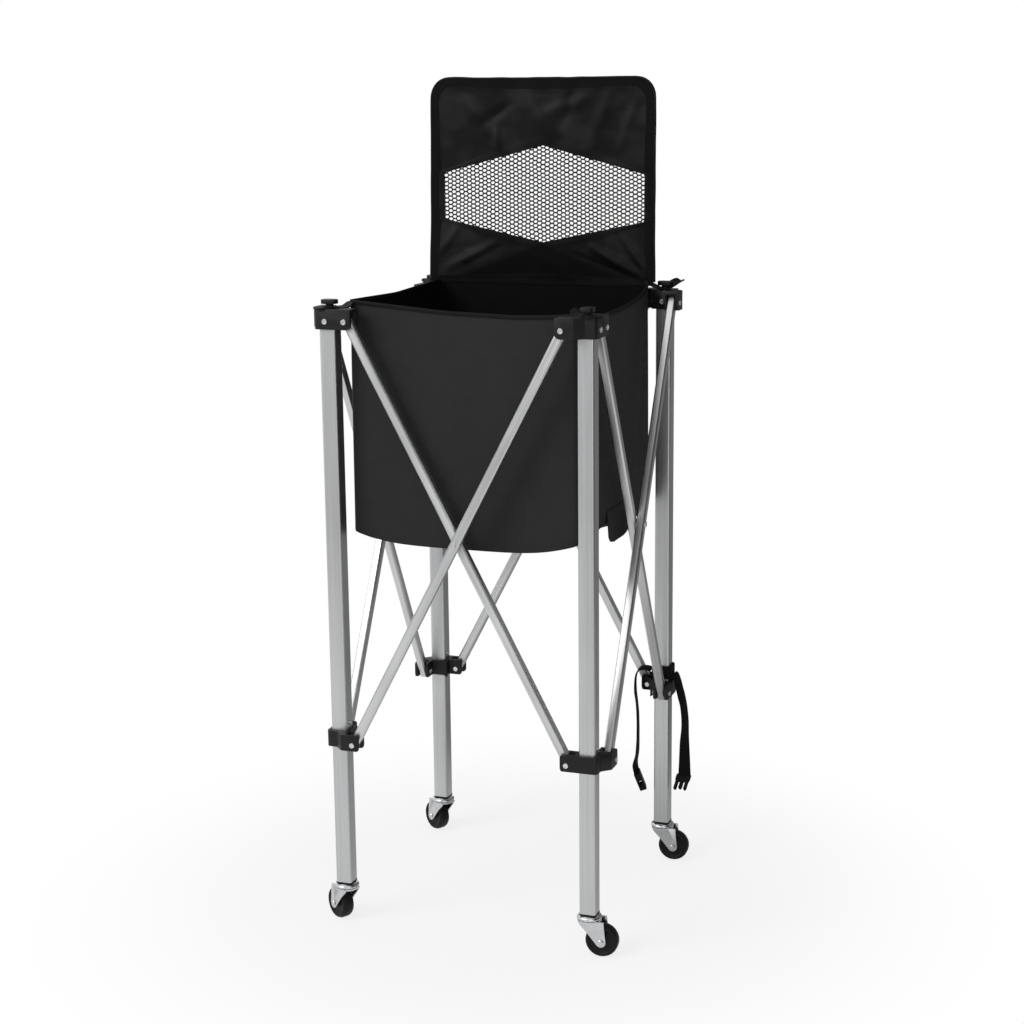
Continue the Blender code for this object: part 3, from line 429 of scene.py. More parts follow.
def faceFrame(face):
    # From the front face's own frame, X along it and -Y out of it, to the given face's
    return Matrix.Rotation(math.radians(90 * face), 4, "Z")


def cornerFrame(corner):
    half = trolley["halfSpacing"]
    return faceFrame(corner) @ Matrix.Translation((-half, -half, 0))


# Finishes

def drawnMetal(name, source, stretches, weights, colours, unevenness, rough):
    # Streaks and lines along the bar under slow bands of tone, which are partly painted reflection
    # of the studio's light and dark bands
    metal = Finish(name, Metallic=1.0)
    streaks = metal.speckle(source, 1.0, 4.0, 0.6, stretches[0])
    lines, toneAndReflection = (metal.speckle(source, 1.0, 2.0, 0.5, stretch) for stretch in stretches[1:])
    share = streaks * weights[0] + lines * weights[1] + toneAndReflection * weights[2]
    metal.paint(
        Base_Color=metal.tones(((share - 0.3) * 2.4).held(), *colours),
        Roughness=streaks * 0.15 + toneAndReflection * unevenness + rough,
        Normal=metal.bump(streaks * 0.6 + lines * 0.4, 0.14, 0.1 * mm),
    )
    return metal


def plastic(name, dark, light, rough, grain, shine):
    # Moulded plastic: a fine spark-eroded grain and faint flow clouds
    shell = Finish(name, Specular_IOR_Level=shine)
    cloud = shell.speckle("object", 90.0, 3.0, 0.6)
    fine = shell.speckle("object", grain, 2.0)
    shell.paint(
        Base_Color=shell.tones(cloud, dark, light),
        Roughness=cloud * 0.12 + fine * 0.08 + rough,
        Normal=shell.bump(fine, 0.25, 0.08 * mm),
    )
    return shell


def woven(name, dark, light, rough, pitch, depth, shine, paintedLightAndShade=False):
    # Plain weave from the piece's own map in metres, over a slow change of tone
    fabric = Finish(name, Specular_IOR_Level=shine)
    across = fabric.node("ShaderNodeSeparateXYZ", None, {0: fabric.place("cloth")})
    turns = math.tau / pitch
    weave = (across * turns).sine() * (across.other("Y") * turns).sine() * 0.5 + 0.5
    fuzz = fabric.speckle("cloth", 2600.0, 2.0, 0.6)
    cloud = fabric.speckle("cloth", 26.0, 3.0, 0.55)
    share = (weave * 0.25 + fuzz * 0.35 + cloud * 0.6 - 0.25).held()
    roughness = cloud * 0.12 + rough
    if paintedLightAndShade:  # painted sheen in lighter patches on the creases, and painted shade darkening the foot, which is rougher
        creaseSheen = (fabric.speckle("cloth", 22.0, 1.5, 0.5, (1, 1.5, 1)) - 0.46) * 7.0
        footShade = ((across.other("Y") + across.size() * 0.37 - 0.04) / 0.016).held()
        share = share * (creaseSheen.held() * 0.88 + 0.12) * footShade
        roughness = roughness + (1.0 - footShade) * 0.4
    under = fabric.bump(fabric.speckle("cloth", 60.0, stretch=(1, 1.4, 1)), 0.35, 1.2 * mm)
    fabric.paint(
        Base_Color=fabric.tones(share, dark, light),
        Roughness=roughness,
        Normal=fabric.bump(weave * 0.7 + fuzz * 0.3, 0.3, depth, under),
    )
    return fabric


def threads(name, dark, light, rough, shine):
    yarn = Finish(name, Specular_IOR_Level=shine)
    fine = yarn.speckle("object", 1400.0, 2.0, 0.6)
    cloud = yarn.speckle("object", 60.0, 2.0)
    yarn.paint(
        Base_Color=yarn.tones(fine * 0.6 + cloud * 0.4, dark, light),
        Roughness=cloud * 0.2 + rough,
        Normal=yarn.bump(fine, 0.3, 0.1 * mm),
    )
    return yarn


def brightZinc():
    zinc = Finish("bright_zinc", Metallic=1.0)
    cloud, fine = zinc.speckle("object", 160.0, 4.0, 0.6), zinc.speckle("object", 1500.0, 2.0)
    zinc.paint(
        Base_Color=zinc.tones(cloud, (0.44, 0.45, 0.46), (0.68, 0.685, 0.69)),
        Roughness=cloud * 0.2 + fine * 0.06 + 0.14,
        Normal=zinc.bump(fine, 0.1, 0.1 * mm),
    )
    return zinc


def rivetNickel():
    nickel = Finish("rivet_nickel", Metallic=1.0)
    cloud = nickel.speckle("object", 500.0, 3.0, 0.6)
    nickel.paint(
        Base_Color=nickel.tones(cloud, (0.5, 0.5, 0.5), (0.78, 0.78, 0.77)),
        Roughness=cloud * 0.18 + 0.2,
    )
    return nickel


def ribbedWebbing():
    # Ribs across the band and a faint twill, on its own map in metres
    band = Finish("webbing", Specular_IOR_Level=0.1)
    across = band.node("ShaderNodeSeparateXYZ", None, {0: band.place("cloth")})
    along = across.other("Y")
    rib = (along * (math.tau / (1.3 * mm))).sine() * 0.5 + 0.5
    twill = ((across + along * 0.5) * (math.tau / (1.6 * mm))).sine() * 0.5 + 0.5
    fuzz = band.speckle("cloth", 2400.0, 2.0, 0.6)
    band.paint(
        Base_Color=band.tones(rib * 0.4 + twill * 0.2 + fuzz * 0.4, 0.001, 0.005),
        Roughness=fuzz * 0.15 + 0.6,
        Normal=band.bump(rib * 0.6 + twill * 0.25 + fuzz * 0.15, 0.5, 0.25 * mm),
    )
    return band


finishes = {
    "leg": drawnMetal(
        "leg_aluminium", "object", ((900, 900, 6), (300, 300, 2.5), (14, 14, 5)),
        (0.35, 0.25, 0.4), ((0.42, 0.425, 0.43), (0.62, 0.625, 0.63)), 0.12, 0.26,
    ),
    "arm": drawnMetal(
        "arm_aluminium", "grain", ((6, 900, 900), (2.5, 300, 300), (9, 30, 60)),
        (0.25, 0.25, 0.5), ((0.44, 0.445, 0.45), (0.70, 0.705, 0.71)), 0.16, 0.22,
    ),
    "zinc": brightZinc(),
    "nickel": rivetNickel(),
    "moulding": plastic("moulded_black", 0.005, 0.010, 0.36, 1800.0, 0.25),
    "plug": plastic("plug_black", 0.008, 0.013, 0.5, 1800.0, 0.2),
    "wheel": plastic("wheel_black", 0.004, 0.009, 0.42, 1100.0, 0.17),
    "buckle": plastic("buckle_black", 0.002, 0.005, 0.3, 2200.0, 0.12),
    "bag": woven("bag_fabric", 0.016, 0.031, 0.62, 0.9 * mm, 0.12 * mm, 0.14),
    # The bag's inner side: darker than its outside, as painted shade inside the bag
    "inside": woven("bag_lining", 0.0035, 0.0075, 0.75, 0.9 * mm, 0.12 * mm, 0.05),
    # The lid's cloth has painted sheen on its creases and painted shade at its foot
    "lid": woven("lid_fabric", 0.0018, 0.026, 0.42, 0.8 * mm, 0.08 * mm, 0.1, paintedLightAndShade=True),
    "hem": woven("lid_hem_fabric", 0.0025, 0.008, 0.6, 0.8 * mm, 0.08 * mm, 0.06),
    "binding": woven("binding_tape", 0.004, 0.009, 0.6, 1.0 * mm, 0.15 * mm, 0.12),
    "strap": woven("loop_tape", 0.004, 0.010, 0.6, 1.1 * mm, 0.15 * mm, 0.14),
    "net": threads("net_thread", 0.004, 0.011, 0.55, 0.15),
    "stitch": threads("stitch_thread", 0.012, 0.03, 0.5, 0.2),
    "webbing": ribbedWebbing(),
}
print("finishes: made", len(finishes))


# Shapes that repeat

def rivetTree():
    # A tubular rivet's head on each point: a low drum, its rolled ring and its sunken eye
    sizes = {"Head Radius": 2.95 * mm, "Drum Height": 1.25 * mm, "Ring Radius": 0.62 * mm}
    tree = Growth("rivet heads", sizes)
    sides = 20
    radius, height, ringRadius = tree.named()
    drumSizes = {"Vertices": sides, "Radius": radius, "Depth": height}
    drum = tree.node("GeometryNodeMeshCylinder", None, drumSizes)
    drum = tree.moved(drum, tree.vector(z=height * 0.5))
    ring = tree.swept(tree.circle(sides, radius - ringRadius), tree.circle(8, ringRadius))
    ring = tree.moved(ring, tree.vector(z=height), (1, 1, 0.7))
    named = {"data_type": "FLOAT_VECTOR"}
    out = tree.node("GeometryNodeInputNamedAttribute", named, {"Name": "out"})
    head = tree.joined(drum, ring)
    return tree.finish(Points=tree.given, Instance=head, Rotation=tree.aimed("Z", out))


def stitchTree():
    # A run of stitches along each edge path
    tree = Growth("stitches", {"Pitch": 3.2 * mm, "Length": 2.3 * mm, "Thickness": 0.55 * mm})
    pitch, length, thick = tree.named()
    path = tree.node("GeometryNodeMeshToCurve", None, {0: tree.given})
    paced = {"Curve": path, "Length": pitch}
    points = tree.node("GeometryNodeResampleCurve", {"mode": "LENGTH"}, paced)
    aim = tree.aimed("X", tree.node("GeometryNodeInputTangent"))
    bead = tree.node("GeometryNodeMeshIcoSphere", None, {"Radius": 0.5, "Subdivisions": 1})
    scale = tree.vector(length, thick, thick)
    return tree.finish(Points=points, Instance=bead, Rotation=aim, Scale=scale)


def netTree():
    # A honeycomb of threads in XY, three threads for each mesh, kept inside the window
    sizes = {
        "Columns": 55, "Rows": 28, "Column Pitch": 4.76 * mm, "Row Pitch": 4.74 * mm,
        "Thread": 1.6 * mm, "Level Thread": 2.0 * mm, "Half Width": 0.12, "Low Tip": 0.04,
        "Low Corner": 0.07, "High Corner": 0.12, "High Tip": 0.15,
    }
    tree = Growth("hexagonal net", sizes)
    columns, rows, columnPitch, rowPitch, thread, level, halfWidth, *edges = tree.named()
    lowTip, lowCorner, highCorner, highTip = edges
    third, half = columnPitch / 3.0, rowPitch * 0.5
    spots = ((third * -1.0, half), (third, half), (third * 2.0, 0.0), (third, half * -1.0))
    places = [tree.vector(x, y) for x, y in spots]
    knot = []
    for start, end, thick in zip(places, places[1:], (level, thread, thread)):
        line = tree.node("GeometryNodeCurvePrimitiveLine", None, {"Start": start, "End": end})
        knot.append(tree.swept(line, tree.circle(5, thick * 0.5), caps=True))
    index = tree.node("GeometryNodeInputIndex")
    column = (index / rows).whole()
    row = index - column * rows
    odd = column - (column * 0.5).whole() * 2.0
    x = (column - (columns - 1.0) * 0.5) * columnPitch
    y = (row + odd * 0.5 - rows * 0.5) * rowPitch + (lowTip + highTip) * 0.5
    grid = {"Count": columns * rows, "Position": tree.vector(x, y)}
    points = tree.node("GeometryNodePoints", None, grid)
    spot = tree.node("ShaderNodeSeparateXYZ", None, {0: tree.node("GeometryNodeInputPosition")})
    share = spot.size() / halfWidth
    low = lowTip + (lowCorner - lowTip) * share
    high = highTip + (highCorner - highTip) * share
    inside = (low < spot.other("Y")) * (spot.other("Y") < high) * (share < 1.0)
    return tree.finish(Points=points, Selection=inside, Instance=tree.joined(*knot))


rivetHeads, stitches, net = rivetTree(), stitchTree(), netTree()
print("repeating shapes: trees ready")


def stitched(name, paths, body):
    # One piece of stitches that follows several paths on one body
    points, edges = [], []
    for path in paths:
        start = len(points)
        points += path
        edges += [(start + step, start + step + 1) for step in range(len(path) - 1)]
    mesh = stitches.run(plainMesh(points, edges=edges), "stitch")
    return piece(name, mesh, "stitch", body)


def rivetSet(name, place, height, spots, body, **sizes):
    # Rivet heads at spots round a leg's axis, each with the way it faces
    mesh = plainMesh([place @ Vector((x, y, height)) for x, y, _, _ in spots])
    facing = mesh.attributes.new("out", "FLOAT_VECTOR", "POINT")
    for index, (_, _, outX, outY) in enumerate(spots):
        facing.data[index].vector = place.to_3x3() @ Vector((outX, outY, 0))
    return piece(name, rivetHeads.run(mesh, "nickel", **sizes), "nickel", body)


# Legs: square tubes with rounded corners, drawn out by geometry nodes

def legTree():
    # A rounded square ring drawn along a line, outside and bore in one closed wall
    sizes = {"Width": 18 * mm, "Radius": 2.6 * mm, "Wall": 1.3 * mm, "Bottom": 0.0, "Top": 1.0}
    tree = Growth("square tube", sizes)
    width, radius, wall, bottom, top = tree.named()

    def ring(width, radius, steps):
        square = {"Width": width, "Height": width}
        path = tree.node("GeometryNodeCurvePrimitiveQuadrilateral", {"mode": "RECTANGLE"}, square)
        corner = {"Curve": path, "Count": steps, "Radius": radius}
        return tree.node("GeometryNodeFilletCurve", {"mode": "POLY"}, corner)

    both = tree.joined(ring(width, radius, 7), ring(width - wall * 2.0, radius - wall, 3))
    plan = tree.node("GeometryNodeFillCurve", {"mode": "TRIANGLES"}, {"Curve": both})
    rise = tree.vector(z=top - bottom)
    drawn = {"Mesh": plan, "Offset": rise, "Offset Scale": 1.0, "Individual": False}
    walls = tree.node("GeometryNodeExtrudeMesh", {"mode": "FACES"}, drawn)
    tube = tree.joined(walls, tree.node("GeometryNodeFlipFaces", None, {0: plan}))
    sealed = {"Geometry": tube, "Distance": 0.002 * mm}
    tube = tree.node("GeometryNodeMergeByDistance", None, sealed)
    return tree.finish(Points=tree.given, Instance=tree.moved(tube, tree.vector(z=bottom)))


def makeLegs():
    low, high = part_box("fl_leg_tube")
    tubes = legTree()
    for index, corner in enumerate(corners):
        place = cornerFrame(index).translation
        mesh = tubes.run(plainMesh([(place.x, place.y, 0)]), "leg", Bottom=low.z, Top=high.z)
        node = corner + "_leg_tube"
        piece(corner + "_leg_profile", mesh, "leg", bodyOf[node], [node], 25)


makeLegs()
print("legs: four tubes")


# Frame parts taken from their solids with rounded edges

def grainAlong(mesh, start, end, outward):
    # The drawn metal's own directions: along the bar, across it and through it
    along = (end - start).normalized()
    across = outward.cross(along).normalized()
    grain = mesh.attributes.new("grain", "FLOAT_VECTOR", "POINT")
    for vertex in mesh.vertices:
        offset = vertex.co - start
        parts = [offset.dot(way) for way in (along, across, outward)]
        grain.data[vertex.index].vector = parts


# The node, the piece's name, its finish, its edges' radius in millimetres and its slot
frameParts = (
    ("top_bracket", "bracket_shell", "moulding", 0.8, "moulded_black"),
    ("sleeve", "sleeve_shell", "moulding", 0.6, "moulded_black"),
    ("leg_plug", "plug_flange", "plug", 0.3, "moulded_black"),
    ("castor_crown", "crown_cup", "zinc", 0.4, "zinc"),
    ("castor_fork", "fork_sheet", "zinc", 0.4, "zinc"),
    ("castor_axle", "axle_rivet", "zinc", 0.3, "zinc"),
    ("wheel", "wheel_tyre", "wheel", 0.8, "wheel_black"),
)


def makeFrame():
    inset = trolley["pivotInset"]
    far = 2 * trolley["halfSpacing"] - inset
    for face, faceName in enumerate(faces):
        outward = faceFrame(face) @ Vector((0, -1, 0))
        place = cornerFrame(face)
        for kind, topEnd, lowEnd in (("inner", inset, far), ("outer", far, inset)):
            name = f"{faceName}_{kind}_arm"
            mesh = cadCopy(name, solids["armEdge"], 3)
            top = place @ Vector((topEnd, 0, trolley["topPivot"]))
            low = place @ Vector((lowEnd, 0, trolley["sleevePivot"]))
            grainAlong(mesh, top, low, outward)
            piece(f"{faceName}_{kind}_bar", mesh, "arm", name, [name])
    for corner in corners:
        for node, name, finish, width, slot in frameParts:
            source = f"{corner}_{node}"
            mesh = cadCopy(source, width * mm)
            piece(f"{corner}_{name}", mesh, finish, bodyOf[source], [source])


makeFrame()
print("frame: arms, mouldings and castors")


rivets = {
    "stopLift": 7 * mm,  # over the sleeve
    "stop": {"Head_Radius": 2.1 * mm, "Drum_Height": 0.7 * mm, "Ring_Radius": 0.45 * mm},
    "crossingSunk": 0.3 * mm,
}


def makeRivets():
    # Heads stand on the clevises' outsides, on the brackets' leg rivets and at each crossing
    shell, out, slot = trolley["shellHalf"], trolley["flushOut"], trolley["slot"]
    wall, inset, leg = trolley["lugWall"], trolley["pivotInset"], trolley["halfLeg"]
    heads = [
        (inset, -shell, 0, -1), (inset, slot + wall - out, 0, 1),
        (-(out + slot + wall), inset, -1, 0), (-(out - wall), inset, 1, 0),
    ]
    swapped = [(y, x, outY, outX) for x, y, outX, outY in heads]  # on a sleeve
    stops = ([(-leg, 0, -1, 0), (leg, 0, 1, 0)], [(0, -leg, 0, -1), (0, leg, 0, 1)])
    stopHeight = trolley["sleeveTop"] + rivets["stopLift"]
    top, low = trolley["topPivot"], trolley["sleevePivot"]
    heads += [(0, -shell, 0, -1), (0, shell, 0, 1)]
    for index, corner in enumerate(corners):
        place, body = cornerFrame(index), corner + "_leg"
        rivetSet(corner + "_bracket_rivets", place, top, heads, body)
        rivetSet(corner + "_sleeve_rivets", place, low, swapped, bodyOf[corner + "_sleeve"])
        # The stops all lie along the trolley's width
        stop = corner + "_stop_rivet"
        rivetSet(stop, place, stopHeight, stops[index % 2], body, **rivets["stop"])
    crossing = [(trolley["halfSpacing"], -(out + slot - rivets["crossingSunk"]), 0, -1)]
    for face, name in enumerate(faces):
        place, middle = cornerFrame(face), (top + low) / 2
        rivetSet(name + "_crossing_rivet", place, middle, crossing, name + "_outer_arm")


makeRivets()
print("rivets: heads on brackets, sleeves, stops and crossings")


# Bag: a lofted shell that hangs from its corners and sags

bag = {
    "cornerRadius": 7 * mm,
    "flare": 1 * mm,  # how much farther out the foot stands than the rim
    "rows": 56,
    "columns": 96,
    "wedgeRows": 40,
    "wedgeColumns": 8,
    "thickness": 1.1 * mm,
    "depth": 250 * mm,
    "floorSag": 13 * mm,
    "floorWaver": 1.2 * mm,
    "floorInside": 0.4 * mm,  # its edge inside the sides
    "belly": 2.5 * mm,
    "slack": 0.9 * mm,
    "pull": 1.6 * mm,  # the creases that run from the upper corners
    "pullSlope": 0.55,
    "pullSpread": 0.012,
    "tuck": 1.2 * mm,  # under the rim
    "tuckRise": 0.93,
    "tuckSpread": 0.05,
    "tapeHeight": 4.6 * mm,
    "tapeThickness": 2.6 * mm,
    "tapeInset": 0.55 * mm,
    "tapeDrop": 0.6 * mm,
    "seamSteps": 80,
    "seamRises": (0.985, 0.024, 0.012),
    "seamOut": 0.1 * mm,
    "foldKeep": 0.17,
    "floorWedges": 12,  # how many wedges the floor is cut into
    "wedgeTip": 0.02,  # the share of its length at which a wedge starts
    "tabFront": -66 * mm,
    "tabWidth": 66 * mm,
    "tabLift": 18 * mm,
    "tabReach": 60 * mm,
}


def floorHeight(x, y):
    half = trolley["bagHalf"] + bag["flare"]
    across = 1 - min(1, abs(x / half)) ** 4
    along = 1 - min(1, abs(y / half)) ** 4
    sag = bag["floorSag"] * (across + along - 0.7 * across * along)
    fromTab = (y - bag["tabFront"] - bag["tabWidth"] / 3) / bag["tabReach"]
    lift = bag["tabLift"] * bell(fromTab) * min(1, max(0, x / half)) ** 4
    return trolley["floorEdge"] - sag + lift


# The rim's height along each side, in millimetres, by share of the side from its left corner
rimLines = (
    ((0, 691), (0.42, 682.4), (0.58, 681.2), (0.74, 680), (0.9, 681.6), (1, 684)),
    (
        (0, 684), (0.18, 677.5), (0.36, 674.6), (0.55, 675),
        (0.73, 677.3), (0.9, 682.5), (0.96, 687), (1, 694),
    ),
    ((0, 694), (0.03, 692.5), (0.08, 690.4), (0.97, 690.4), (1, 690)),
    ((0, 690), (0.5, 686.6), (1, 691)),
)


def sideHalf(rise):
    return trolley["bagHalf"] + bag["flare"] * (1 - rise)


def planPoint(face, share, rise, inset=0.0):
    # A point of the bag's plan: share runs along a face from corner to corner
    half, radius = sideHalf(rise) - inset, bag["cornerRadius"] - inset
    straight, quarter = 2 * (half - radius), radius * math.pi / 2
    along = share * (straight + quarter) - quarter / 2
    onStraight = min(max(along, 0), straight)
    turn = (along - onStraight) / radius
    x = -half + radius + onStraight + radius * math.sin(turn)
    return faceFrame(face) @ Vector((x, -half + radius - radius * math.cos(turn), 0))


def wallPoint(face, share, rise, inset=0.0):
    # A point of a side: rise runs from the floor's edge, 0, to the rim, 1
    place = planPoint(face, share, rise, inset)
    across = 2 * share - 1
    low, high = floorHeight(place.x, place.y), through(rimLines[face], share) * mm
    middle = 1 - across**4
    belly = bag["belly"] * math.sin(math.pi * min(1, rise * 1.15)) * middle
    slack = bag["slack"] * wave(share * 3.1 + rise * 1.7, 1.3 + face) * middle
    crease = abs(across) - 1 + (1 - rise) * bag["pullSlope"]
    pull = bag["pull"] * math.exp(-(crease**2) / bag["pullSpread"]) * rise
    underRim = bell((rise - bag["tuckRise"]) / bag["tuckSpread"])
    tuck = bag["tuck"] * underRim * wave(share * 9, 5.1 + face) * middle
    outward = faceFrame(face) @ Vector((0, -1, 0))
    place = place + outward * (belly * 0.7 + slack - pull * middle + tuck)
    place.z = low + (high - low) * rise
    return place


def makeWall(face):
    def spot(share, rise):
        place = wallPoint(face, share, rise)
        return place, (share * 2 * sideHalf(0), place.z)

    return clothMesh(bag["columns"], bag["rows"], spot, bag["thickness"])


def makeFloor(first, last):
    # A wedge of the floor, between two shares of the quarter turn about its front left corner
    half, radius = sideHalf(0) - bag["floorInside"], bag["cornerRadius"]

    def spot(share, out):
        turn = math.radians(90 * (first + (last - first) * share))
        ways = math.cos(turn), math.sin(turn)
        reach = max(out, bag["wedgeTip"])
        x, y = (2 * half / max(ways) * reach * way - half for way in ways)
        # The corners are rounded as the walls are
        over = Vector((max(0, abs(x) - half + radius), max(0, abs(y) - half + radius)))
        if min(over) > 0 and over.length > radius:
            shrink = radius / over.length
            x = math.copysign(half - radius + over.x * shrink, x)
            y = math.copysign(half - radius + over.y * shrink, y)
        inner = 1 - (max(abs(x), abs(y)) / half) ** 6
        waver = bag["floorWaver"] * wave(x * 40, y * 40) * inner
        return (x, y, floorHeight(x, y) + waver), (x, y)

    return clothMesh(bag["wedgeColumns"], bag["wedgeRows"], spot, bag["thickness"], 1.0)


def gathered(softs):
    # Each soft piece gets a mesh of its own
    for soft in softs:
        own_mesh(soft)


def gatheredSide(softs, face):
    if face % 2 == 0:
        gathered(softs)
    else:
        gathered(softs)


def pressed(value, power):
    # A sine or cosine pressed towards its ends, for a strap's rounded section
    return math.copysign(abs(value) ** power, value)


def rimTapeMesh(path, outward):
    # A folded tape over an edge: a rounded strap section swept along the path
    sides, wide, tall = 12, bag["tapeThickness"] / 2, bag["tapeHeight"] / 2
    turns = [math.tau * step / sides for step in range(sides)]
    section = [
        (pressed(math.cos(turn), 0.6) * wide, pressed(math.sin(turn), 0.4) * tall)
        for turn in turns
    ]
    rows = [[spot + outward * x + Vector((0, 0, z)) for x, z in section] for spot in path]
    flat = [(run, step * 1.1 * mm) for run in runAlong(path) for step in range(sides)]
    return sweptMesh(rows, flat=flat)


def makeSide(face, faceName):
    node = f"bag_{faceName}"
    body, mesh = bodyOf[node], makeWall(face)
    wall = piece(f"{node}_cloth", mesh, "bag", body, [node], 60, "inside")
    outward = faceFrame(face) @ Vector((0, -1, 0))
    shares = [step / bag["seamSteps"] for step in range(bag["seamSteps"] + 1)]
    drop = Vector((0, 0, bag["tapeDrop"]))
    edge = [wallPoint(face, share, 1.0, bag["tapeInset"]) - drop for share in shares]
    tape = rimTapeMesh(edge, outward)
    rimTape = piece(f"{node}_rim_tape", tape, "binding", body, angle=60)
    lift = outward * bag["seamOut"]
    paths = [
        [wallPoint(face, share, rise) + lift for share in shares[1:-1]]
        for rise in bag["seamRises"]
    ]
    seam = stitched(f"{node}_seams", paths, body)
    gatheredSide((wall, rimTape, seam), face)


def makeWedge(index):
    edge, count = -trolley["bagHalf"], bag["floorWedges"]
    first, last = index / count, (index + 1) / count
    name = "bag_floor_cloth" + (f"_{index + 1}" if index else "")
    node, mesh = "bag_floor", makeFloor(first, last)
    stands = () if index else [node]
    wedge = piece(name, mesh, "bag", bodyOf[node], stands, 60, "inside")
    gathered([wedge])


for face, faceName in enumerate(faces):
    makeSide(face, faceName)
for index in range(bag["floorWedges"]):
    makeWedge(index)
print("bag: four hung sides and a sagging floor")


# Corner loops: tape sewn to the bag's corners, with an eye round each knob's post

loops = {
    "hole": 4.6 * mm,
    "eyes": (16.5 * mm, 17 * mm, 21 * mm, 15 * mm),  # how far each reaches away from the bag
    "half": 10.5 * mm,
    "reach": 24 * mm,  # to the bag's corner
    "thickness": 1.4 * mm,
    "around": 64,
    "rings": 8,
    "clear": 0.9 * mm,  # over the bracket
    "waver": 0.45 * mm,
    "climb": 4.6 * mm,  # from the bracket to the bag's rim
    "swell": 1.8 * mm,
    "swellReach": 9 * mm,
    "pleat": 1.4 * mm,
    "pleatSide": 3 * mm,
    "pleatReach": 2.2 * mm,
    "lift": 3 * mm,
    "stand": 8 * mm,  # these four are the back right loop's
    "slant": 4 * mm,
    "tip": 8.5 * mm,
    "curl": 4.5 * mm,
}


def loopRelief(corner, ahead, side):
    # The tape's height over the bracket: ahead is towards the bag, side is to its left
    rise = max(0.0, ahead / loops["reach"])
    outer = max(0.0, -ahead / loops["eyes"][corner])
    height = loops["clear"] + loops["waver"] * wave(ahead * 160, side * 120 + corner)
    if corner == 2:  # stands up at its free end and at its sides
        edge = (side / loops["half"]) ** 2
        slant = loops["slant"] * side / loops["half"] * min(1, 1.5 * rise)
        height += loops["stand"] * rise**1.2 - slant
        return height + loops["tip"] * outer**1.1 + loops["curl"] * edge * (0.25 + 0.75 * outer)
    height += loops["climb"] * ease((rise - 0.7) / 0.3)
    if corner == 0:  # swells round the post
        height += loops["swell"] * bell(math.hypot(ahead, side) / loops["swellReach"])
    if corner == 1:  # has a raised pleat
        away = (side - loops["pleatSide"]) / loops["pleatReach"]
        height += loops["pleat"] * bell(away) * (0.4 + rise)
    if corner == 3:  # lifts at its free end
        height += loops["lift"] * outer
    return height


def makeLoop(index):
    # Rings of points between the eye's hole and the tape's outline
    turned = faceFrame(index) @ Matrix.Rotation(math.radians(45), 4, "Z")
    middle = cornerFrame(index).translation

    def spot(around, share):
        turn = math.tau * around
        ahead, side = math.cos(turn), math.sin(turn)
        length = loops["reach"] if ahead > 0 else loops["eyes"][index]
        half = loops["half"] * (1 + 0.06 * wave(turn * 1.4, index))
        reach = (abs(ahead / length) ** 5 + abs(side / half) ** 5) ** -0.2
        away = loops["hole"] + (reach - loops["hole"]) * share
        x, y = away * ahead, away * side
        place = turned @ Vector((x, y, 0)) + middle
        place.z = trolley["bracketTop"] + loopRelief(index, x, y)
        return place, (x, y)

    size = (loops["around"], loops["rings"])
    return clothMesh(*size, spot, loops["thickness"], over=True, closed=True)


def makeLoops():
    for index, corner in enumerate(corners):
        name, node = corner + "_corner_loop", corner + "_bag_loop"
        tape = piece(name, makeLoop(index), "strap", bodyOf[node], [node], 60)


makeLoops()
print("loops: four over the knobs")


# Side tab: a flap that hangs from the right side's lower edge

tab = {
    "front": -39.5 * mm,
    "back": 41 * mm,
    "top": 463 * mm,
    "flare": 0.07,
    "left": 128.5 * mm,  # its side of the bag
    "clear": 1.6 * mm,
    "thickness": 1.1 * mm,
    "drop": 36 * mm,
    "columns": 40,
    "rows": 18,
    "seamRows": (1, 16),
    "seamOut": 0.15 * mm,
    "skew": 3 * mm,
    "fold": 1.2 * mm,
    "bulge": 4 * mm,
    "low": (  # its lower edge's height in millimetres, by share from the front
        (0, 436), (0.05, 430.5), (0.11, 428.6), (0.28, 425.6), (0.58, 426.8),
        (0.84, 429.6), (0.87, 436), (0.93, 438.7), (1, 442),
    ),
}


def makeTab():
    across, along = tab["columns"], tab["rows"]
    width = tab["back"] - tab["front"]

    def spot(share, down):
        depth = (tab["top"] - through(tab["low"], share) * mm) * down
        y = tab["front"] + width * share - tab["skew"] * down * (1 - share)
        fold = tab["fold"] * math.sin(share * 8.2 + 1.1 + down) * down
        arc = math.sin(math.pi * min(1, down * 1.1))
        bulge = tab["bulge"] * bell((share - 0.9) / 0.16) * arc
        x = tab["left"] + tab["clear"] + depth * tab["flare"] + fold + bulge
        return (x, y, tab["top"] - depth), (share * width, depth)

    mesh = clothMesh(across, along, spot, tab["thickness"], over=True)
    node = "bag_side_tab"
    body = bodyOf[node]
    made = piece("bag_tab_cloth", mesh, "bag", body, [node], 60, "inside")
    out = Vector((tab["seamOut"], 0, 0))
    rows = [
        [Vector(spot(column / across, row / along)[0]) + out for column in range(2, across - 1)]
        for row in tab["seamRows"]
    ]
    seam = stitched("bag_tab_seams", rows, body)
    gatheredSide((made, seam), 1)


makeTab()
print("tab: on the right side")


# Tie strap: a turn of webbing round the back right leg and two tails with their buckle halves

strap = {
    "width": 18 * mm,
    "thickness": 1.5 * mm,
    "bandHeight": 227 * mm,
    "bandWidth": 16 * mm,
    "bandLength": 82 * mm,
    "bandHalf": 11.25 * mm,
    "bandRadius": 4.6 * mm,
    "bandWaver": 0.5 * mm,
    "bandInside": 0.6 * mm,  # narrower than its solid
    "tailInside": 0.4 * mm,
    "tailSteps": 5,
    "tailWaver": 2.5,  # in degrees
    "buckleAxis": (0.31, -0.93, 0.2),  # about which each half swings aside
    "buckleUp": 2 * mm,
    "buckleDepth": 0.95,  # of its solid's
}
